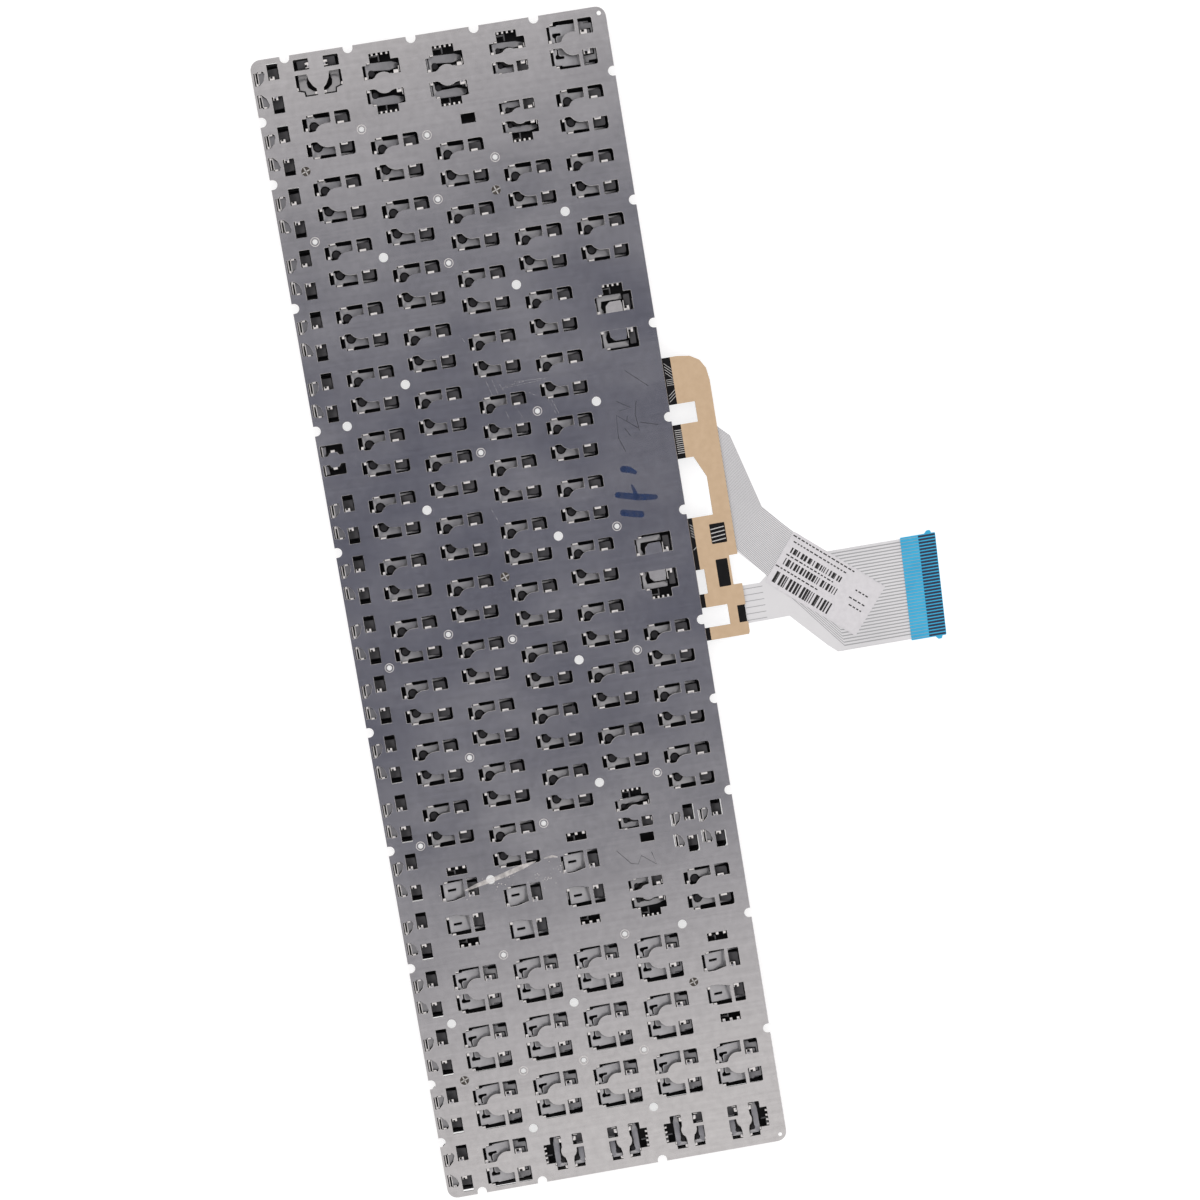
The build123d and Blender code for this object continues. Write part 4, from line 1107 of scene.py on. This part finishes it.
def ribbon_cable():
    shape = Shape()
    points = [(46.1, 8.4), (46.1, 13.1), (42.6, 16.7), (20.2, 22.8), (11.6, 30.3), (3.3, 39.1), (3.3, 73.8),
              (-27.3, 72.6), (-27.3, 39.1), (-24.9, 36.4), (-13.85, 25.9), (-13.85, 8.4), (-2.35, 8.4),
              (-2.35, 18.5), (-0.4, 20.9), (8.1, 13.1), (8.1, 8.4)]
    border = [(x, PLATE_EDGE_Y - distance) for x, distance in points]
    shape.sheet(border, [], 0.15, 0, 0.02, 0, BEND_LINES, drape)
    shape.piece("ribbon", [RIBBON], replaces=["ribbon_cable"], finish="ribbon_film")
    traces = Shape()
    for index in range(30):
        share = 0.05 + 0.92 * index / 29
        first = Vector(FIRST_FOLD[0]).lerp(Vector(FIRST_FOLD[1]), share)
        second = Vector(SECOND_FOLD[0]).lerp(Vector(SECOND_FOLD[1]), share)
        back = min((first.y - RIBBON_START) / FIRST_RUN[1],
                   (CHAMFER_SUM - first.x - first.y) / (FIRST_RUN[0] - FIRST_RUN[1]))
        start = Vector((first.x + back * FIRST_RUN[0], first.y - back * FIRST_RUN[1]))
        corners = [start, first, second, Vector((second.x, RIBBON_LINE_END))]
        for here, after, width in zip(corners, corners[1:], RIBBON_LINE_WIDTHS):
            steps = max(1, round((after - here).length / 1.5))
            run = [here.lerp(after, step / steps) for step in range(steps + 1)]
            strip(traces, [(at.x, PLATE_EDGE_Y - at.y) for at in run], width, over_ribbon(0.17))
    for index in range(6):
        x = -13.0 + 1.9 * index
        line = [(x, PLATE_EDGE_Y - RIBBON_START - k) for k in range(7)]
        strip(traces, line, 0.2, over_ribbon(0.17))
    traces.piece("ribbon_lines", [RIBBON_TRACE], finish="ribbon_film")


def contact_stiffener():
    shape = Shape()
    low, high = -27.7, 3.7
    low_end = PLATE_EDGE_Y - 72.6
    high_end = low_end - 1.2
    length = 10.8
    top = CAP_TOP + 0.35

    def at(x, distance):
        return x, low_end + (high_end - low_end) * (x - low) / (high - low) + distance

    border = outline((*at(low, 0), .4), (*at(high, 0), .4), (*at(high, 1.2),), (*at(high + 0.9, 1.5), .3),
                     (*at(high + 0.9, 2.6), .3), (*at(high, 3.4),), (*at(high, length), .2),
                     (*at(low, length), .2), (*at(low, 3.4),), (*at(low - 0.9, 2.6), .3),
                     (*at(low - 0.9, 1.5), .3), (*at(low, 1.2),))
    shape.sheet(border, [], top, top - 0.2, 0.04)
    for index in range(32):
        x = low + 0.6 + (high - low - 1.2) * index / 31
        strip(shape, [at(x, 0.15), at(x, 5.3)], 0.62, top + 0.01, 1)
        strip(shape, [at(x, 5.5), at(x, length)], 0.12, top + 0.01, 2)
    shape.piece("stiffener", [BLUE, CONTACT, RIBBON_TRACE], replaces=["contact_stiffener"],
                finish="stiffener_film")


LABEL_CENTRE = (-6.2, PLATE_EDGE_Y - 38.2)
LABEL_TURN = 49.8
LABEL_HALF = (16.4, 8.75)
BAR_ROWS = [(-4.4, -2.6, -3.5, 14.6), (-0.7, 1.5, -4.2, 14.6), (4.0, 7.6, -5.0, 15.0)]
DASH_ROWS = [(-7.7, -6.0, 15.0), (-6.1, -4.0, 15.0), (-1.7, -2.0, 15.0), (2.7, 1.0, 15.0),
             (-3.2, -13.5, -9.0), (-0.4, -14.0, -9.5), (1.6, -14.0, -10.0)]


def cable_label():
    # Paper label with rows of plain bars and dashes, stuck over the ribbon's bend
    shape = Shape()
    cosine, sine = math.cos(math.radians(LABEL_TURN)), math.sin(math.radians(LABEL_TURN))
    long, short = LABEL_HALF

    def at(u, v):
        return LABEL_CENTRE[0] + u * cosine - v * sine, LABEL_CENTRE[1] + u * sine + v * cosine

    level = over_ribbon(0.27)
    border = pane(-long, long, -short, short, .5, .5, .5, .5)
    shape.sheet([at(u, v) for u, v in border], [], 0.26, 0.19, 0.02, 0, BEND_LINES, drape)
    for low, high, first, last in BAR_ROWS:
        u = first
        while u < last:
            width = chance.choice((0.3, 0.5, 0.8))
            steps = [low + (high - low) * k / 3 for k in range(4)]
            strip(shape, [at(u, v) for v in steps], width, level, 1)
            u += width + chance.choice((0.3, 0.45, 0.6))
    for v, first, last in DASH_ROWS:
        u = first
        while u < last:
            width = chance.uniform(0.5, 1.3)
            strip(shape, [at(u, v), at(u + width, v)], 0.4, level, 1)
            u += width + 0.45
    shape.piece("label", [PAPER, PRINT], replaces=["cable_label"], finish="label_paper")


# Marks on the plate: lines with one width or a width for each point
MARK_LEVEL = 0.004
INK_LINES = [
    ([(25.1, -33.9), (24.4, -36.5), (23.8, -39.1)], 2.0),
    ([(30.6, -33.1), (29.8, -36.0), (29.0, -38.9), (28.6, -41.5), (28.2, -44.1)], [1.8, 1.9, 2.0, 1.9, 1.5]),
    ([(29.4, -38.6), (31.4, -38.1), (32.8, -37.7)], [1.3, 1.0, 0.6]),
    ([(37.9, -36.0), (37.4, -37.8), (36.4, -39.3)], [2.0, 1.9, 1.2]),
]
INK_DOTS = [(37.9, -36.1, 0.85), (30.5, -33.3, 0.7), (29.2, -38.7, 0.9), (25.0, -34.0, 0.6)]
PENCIL_LINES = [
    [(42.97, -37.56), (47.2, -36.1), (54.0, -36.5), (49.3, -42.3)],
    [(48.5, -42.6), (53.5, -42.1), (57.2, -43.0)], [(50.9, -43.1), (49.3, -48.3)],
    [(47.4, -39.7), (49.8, -38.4)], [(51.9, -39.4), (53.2, -39.7)],
    [(55.1, -37.6), (55.6, -41.0), (58.0, -37.3)], [(66.6, -41.2), (61.1, -47.3)],
    [(-75.3, -15.4), (-79.8, -19.1), (-80.3, -21.2), (-77.9, -22.5), (-81.3, -26.7), (-77.4, -25.7)],
]
RESIDUE_LINES = [
    ([(-79.3, 31.4), (-78.3, 27.5), (-77.5, 23.5), (-77.2, 21.5), (-76.2, 17.5), (-75.0, 13.0), (-74.2, 9.3)],
     [0.5, 1.2, 1.5, 1.3, 1.5, 1.4, 0.3]),
    ([(-73.7, 6.5), (-73.5, 4.0), (-74.0, 2.6)], [0.4, 0.7, 0.3]),
]
SCRATCHES = [
    [(70.5, -1.8), (57.0, -5.3)], [(70.7, -2.9), (66.0, -5.0)], [(67.3, -3.8), (67.9, -17.5)],
    [(68.7, -8.3), (68.2, -18.3)], [(63.4, -16.8), (57.3, -19.0)], [(61.3, -7.4), (57.5, -9.3)],
    [(84.9, 5.5), (82.5, 4.1)], [(33.2, 4.9), (27.8, 2.9)], [(64.9, -12.0), (63.4, -14.3)],
    [(61.7, -18.3), (57.5, -19.8)], [(70.4, 0.0), (64.5, -1.5)], [(67.8, -5.3), (68.3, -11.1)],
]


def marks():
    ink = Shape()
    for index, (line, width) in enumerate(INK_LINES):
        strip(ink, line, width, 0.006 if index == 2 else MARK_LEVEL, rounded=True)
    for x, y, radius in INK_DOTS:
        ink.cap(levelled(circle(x, y, radius), 0.008))
    ink.piece("marker_strokes", [INK])
    pencil = Shape()
    for line in PENCIL_LINES:
        strip(pencil, line, 0.22, MARK_LEVEL, rounded=True)
    pencil.piece("pencil_lines", [PENCIL])
    residue = Shape()
    for line, widths in RESIDUE_LINES:
        strip(residue, line, widths, MARK_LEVEL, rounded=True)
    for _ in range(80):
        x = chance.gauss(-78.5, 1.8)
        y = chance.uniform(2, 40)
        radius = chance.uniform(0.06, 0.2)
        if not over_window(x, y, 0.3):
            residue.cap(levelled(circle(x, y, radius, 9), 0.006))
    residue.piece("residue_streak", [RESIDUE])
    scratches = Shape()
    for first, last in SCRATCHES:
        for run in clear_runs(first, last):
            strip(scratches, run, 0.09, MARK_LEVEL)
    scratches.piece("scratch_lines", [SCRATCH])


support_plate()
stake_rings()
contact_membrane()
flap_traces()
scissor_links()
key_tops()
rubber_domes()
adhesive_liner()
ribbon_cable()
contact_stiffener()
cable_label()
marks()

for name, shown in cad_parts.items():
    if name.startswith("stabilizer_wire"):
        shown.data.materials.clear()
        shown.data.materials.append(STEEL)


# Floor, light and camera
FLOOR_LEVEL = -0.00475
FLOOR_HALF = 3
DARK_SKY = (0.15, 0.155, 0.212)
BRIGHT_SKY = (1.03, 0.99, 0.985)
CAMERA_PLACE = (0.0483, -0.0052, 0.5957)
CAMERA_SIGHT = (-0.0799, -0.0294, -0.9964)
CAMERA_UP = (0.98662, -0.16306, 0)

floor_mesh = bpy.data.meshes.new("floor")
corners = box(-FLOOR_HALF, FLOOR_HALF, -FLOOR_HALF, FLOOR_HALF)
floor_mesh.from_pydata(levelled(corners, FLOOR_LEVEL), [], [(0, 1, 2, 3)])
floor = bpy.data.objects.new("floor", floor_mesh)
bpy.context.collection.objects.link(floor)
pale = material("floor_white", (0.48, 0.48, 0.48), 0.9)
set_shader(pale, {"Emission Color": (1, 1, 1, 1), "Emission Strength": 0.72})
floor_mesh.materials.append(pale)

# The sky is dark overhead, tilted a little, and bright towards the sides
scene = bpy.context.scene
scene.world = bpy.data.worlds.new("studio")
scene.world.use_nodes = True
tree = scene.world.node_tree
split = tree.nodes.new("ShaderNodeSeparateXYZ")
connect(tree, split.inputs[0], node(tree, "TexCoord", {}, "Generated"))
sideways = calculated(tree, "MULTIPLY", split.outputs["Y"], 0.2)
tilted = calculated(tree, "ADD", calculated(tree, "ADD", split.outputs["X"], sideways), 0.034)
along = calculated(tree, "MULTIPLY", calculated(tree, "ABSOLUTE", split.outputs["Y"]), 0.45)
away = calculated(tree, "MAXIMUM", calculated(tree, "ABSOLUTE", tilted), along)
background = tree.nodes["Background"]
glow = mixed(tree, ramp(tree, away, 0.15, 0.265, 0, 1), DARK_SKY, BRIGHT_SKY)
connect(tree, background.inputs["Color"], glow)
background.inputs["Strength"].default_value = 1.0

camera_data = bpy.data.cameras.new("camera")
camera_data.sensor_width = 36
camera_data.lens = 60
camera = bpy.data.objects.new("camera", camera_data)
bpy.context.collection.objects.link(camera)
sight = Vector(CAMERA_SIGHT).normalized()
right = sight.cross(Vector(CAMERA_UP)).normalized()
up = right.cross(sight)
turned = Matrix((right, up, -sight)).transposed().to_4x4()
camera.matrix_world = Matrix.Translation(CAMERA_PLACE) @ turned
scene.camera = camera
scene.view_settings.view_transform = "Standard"
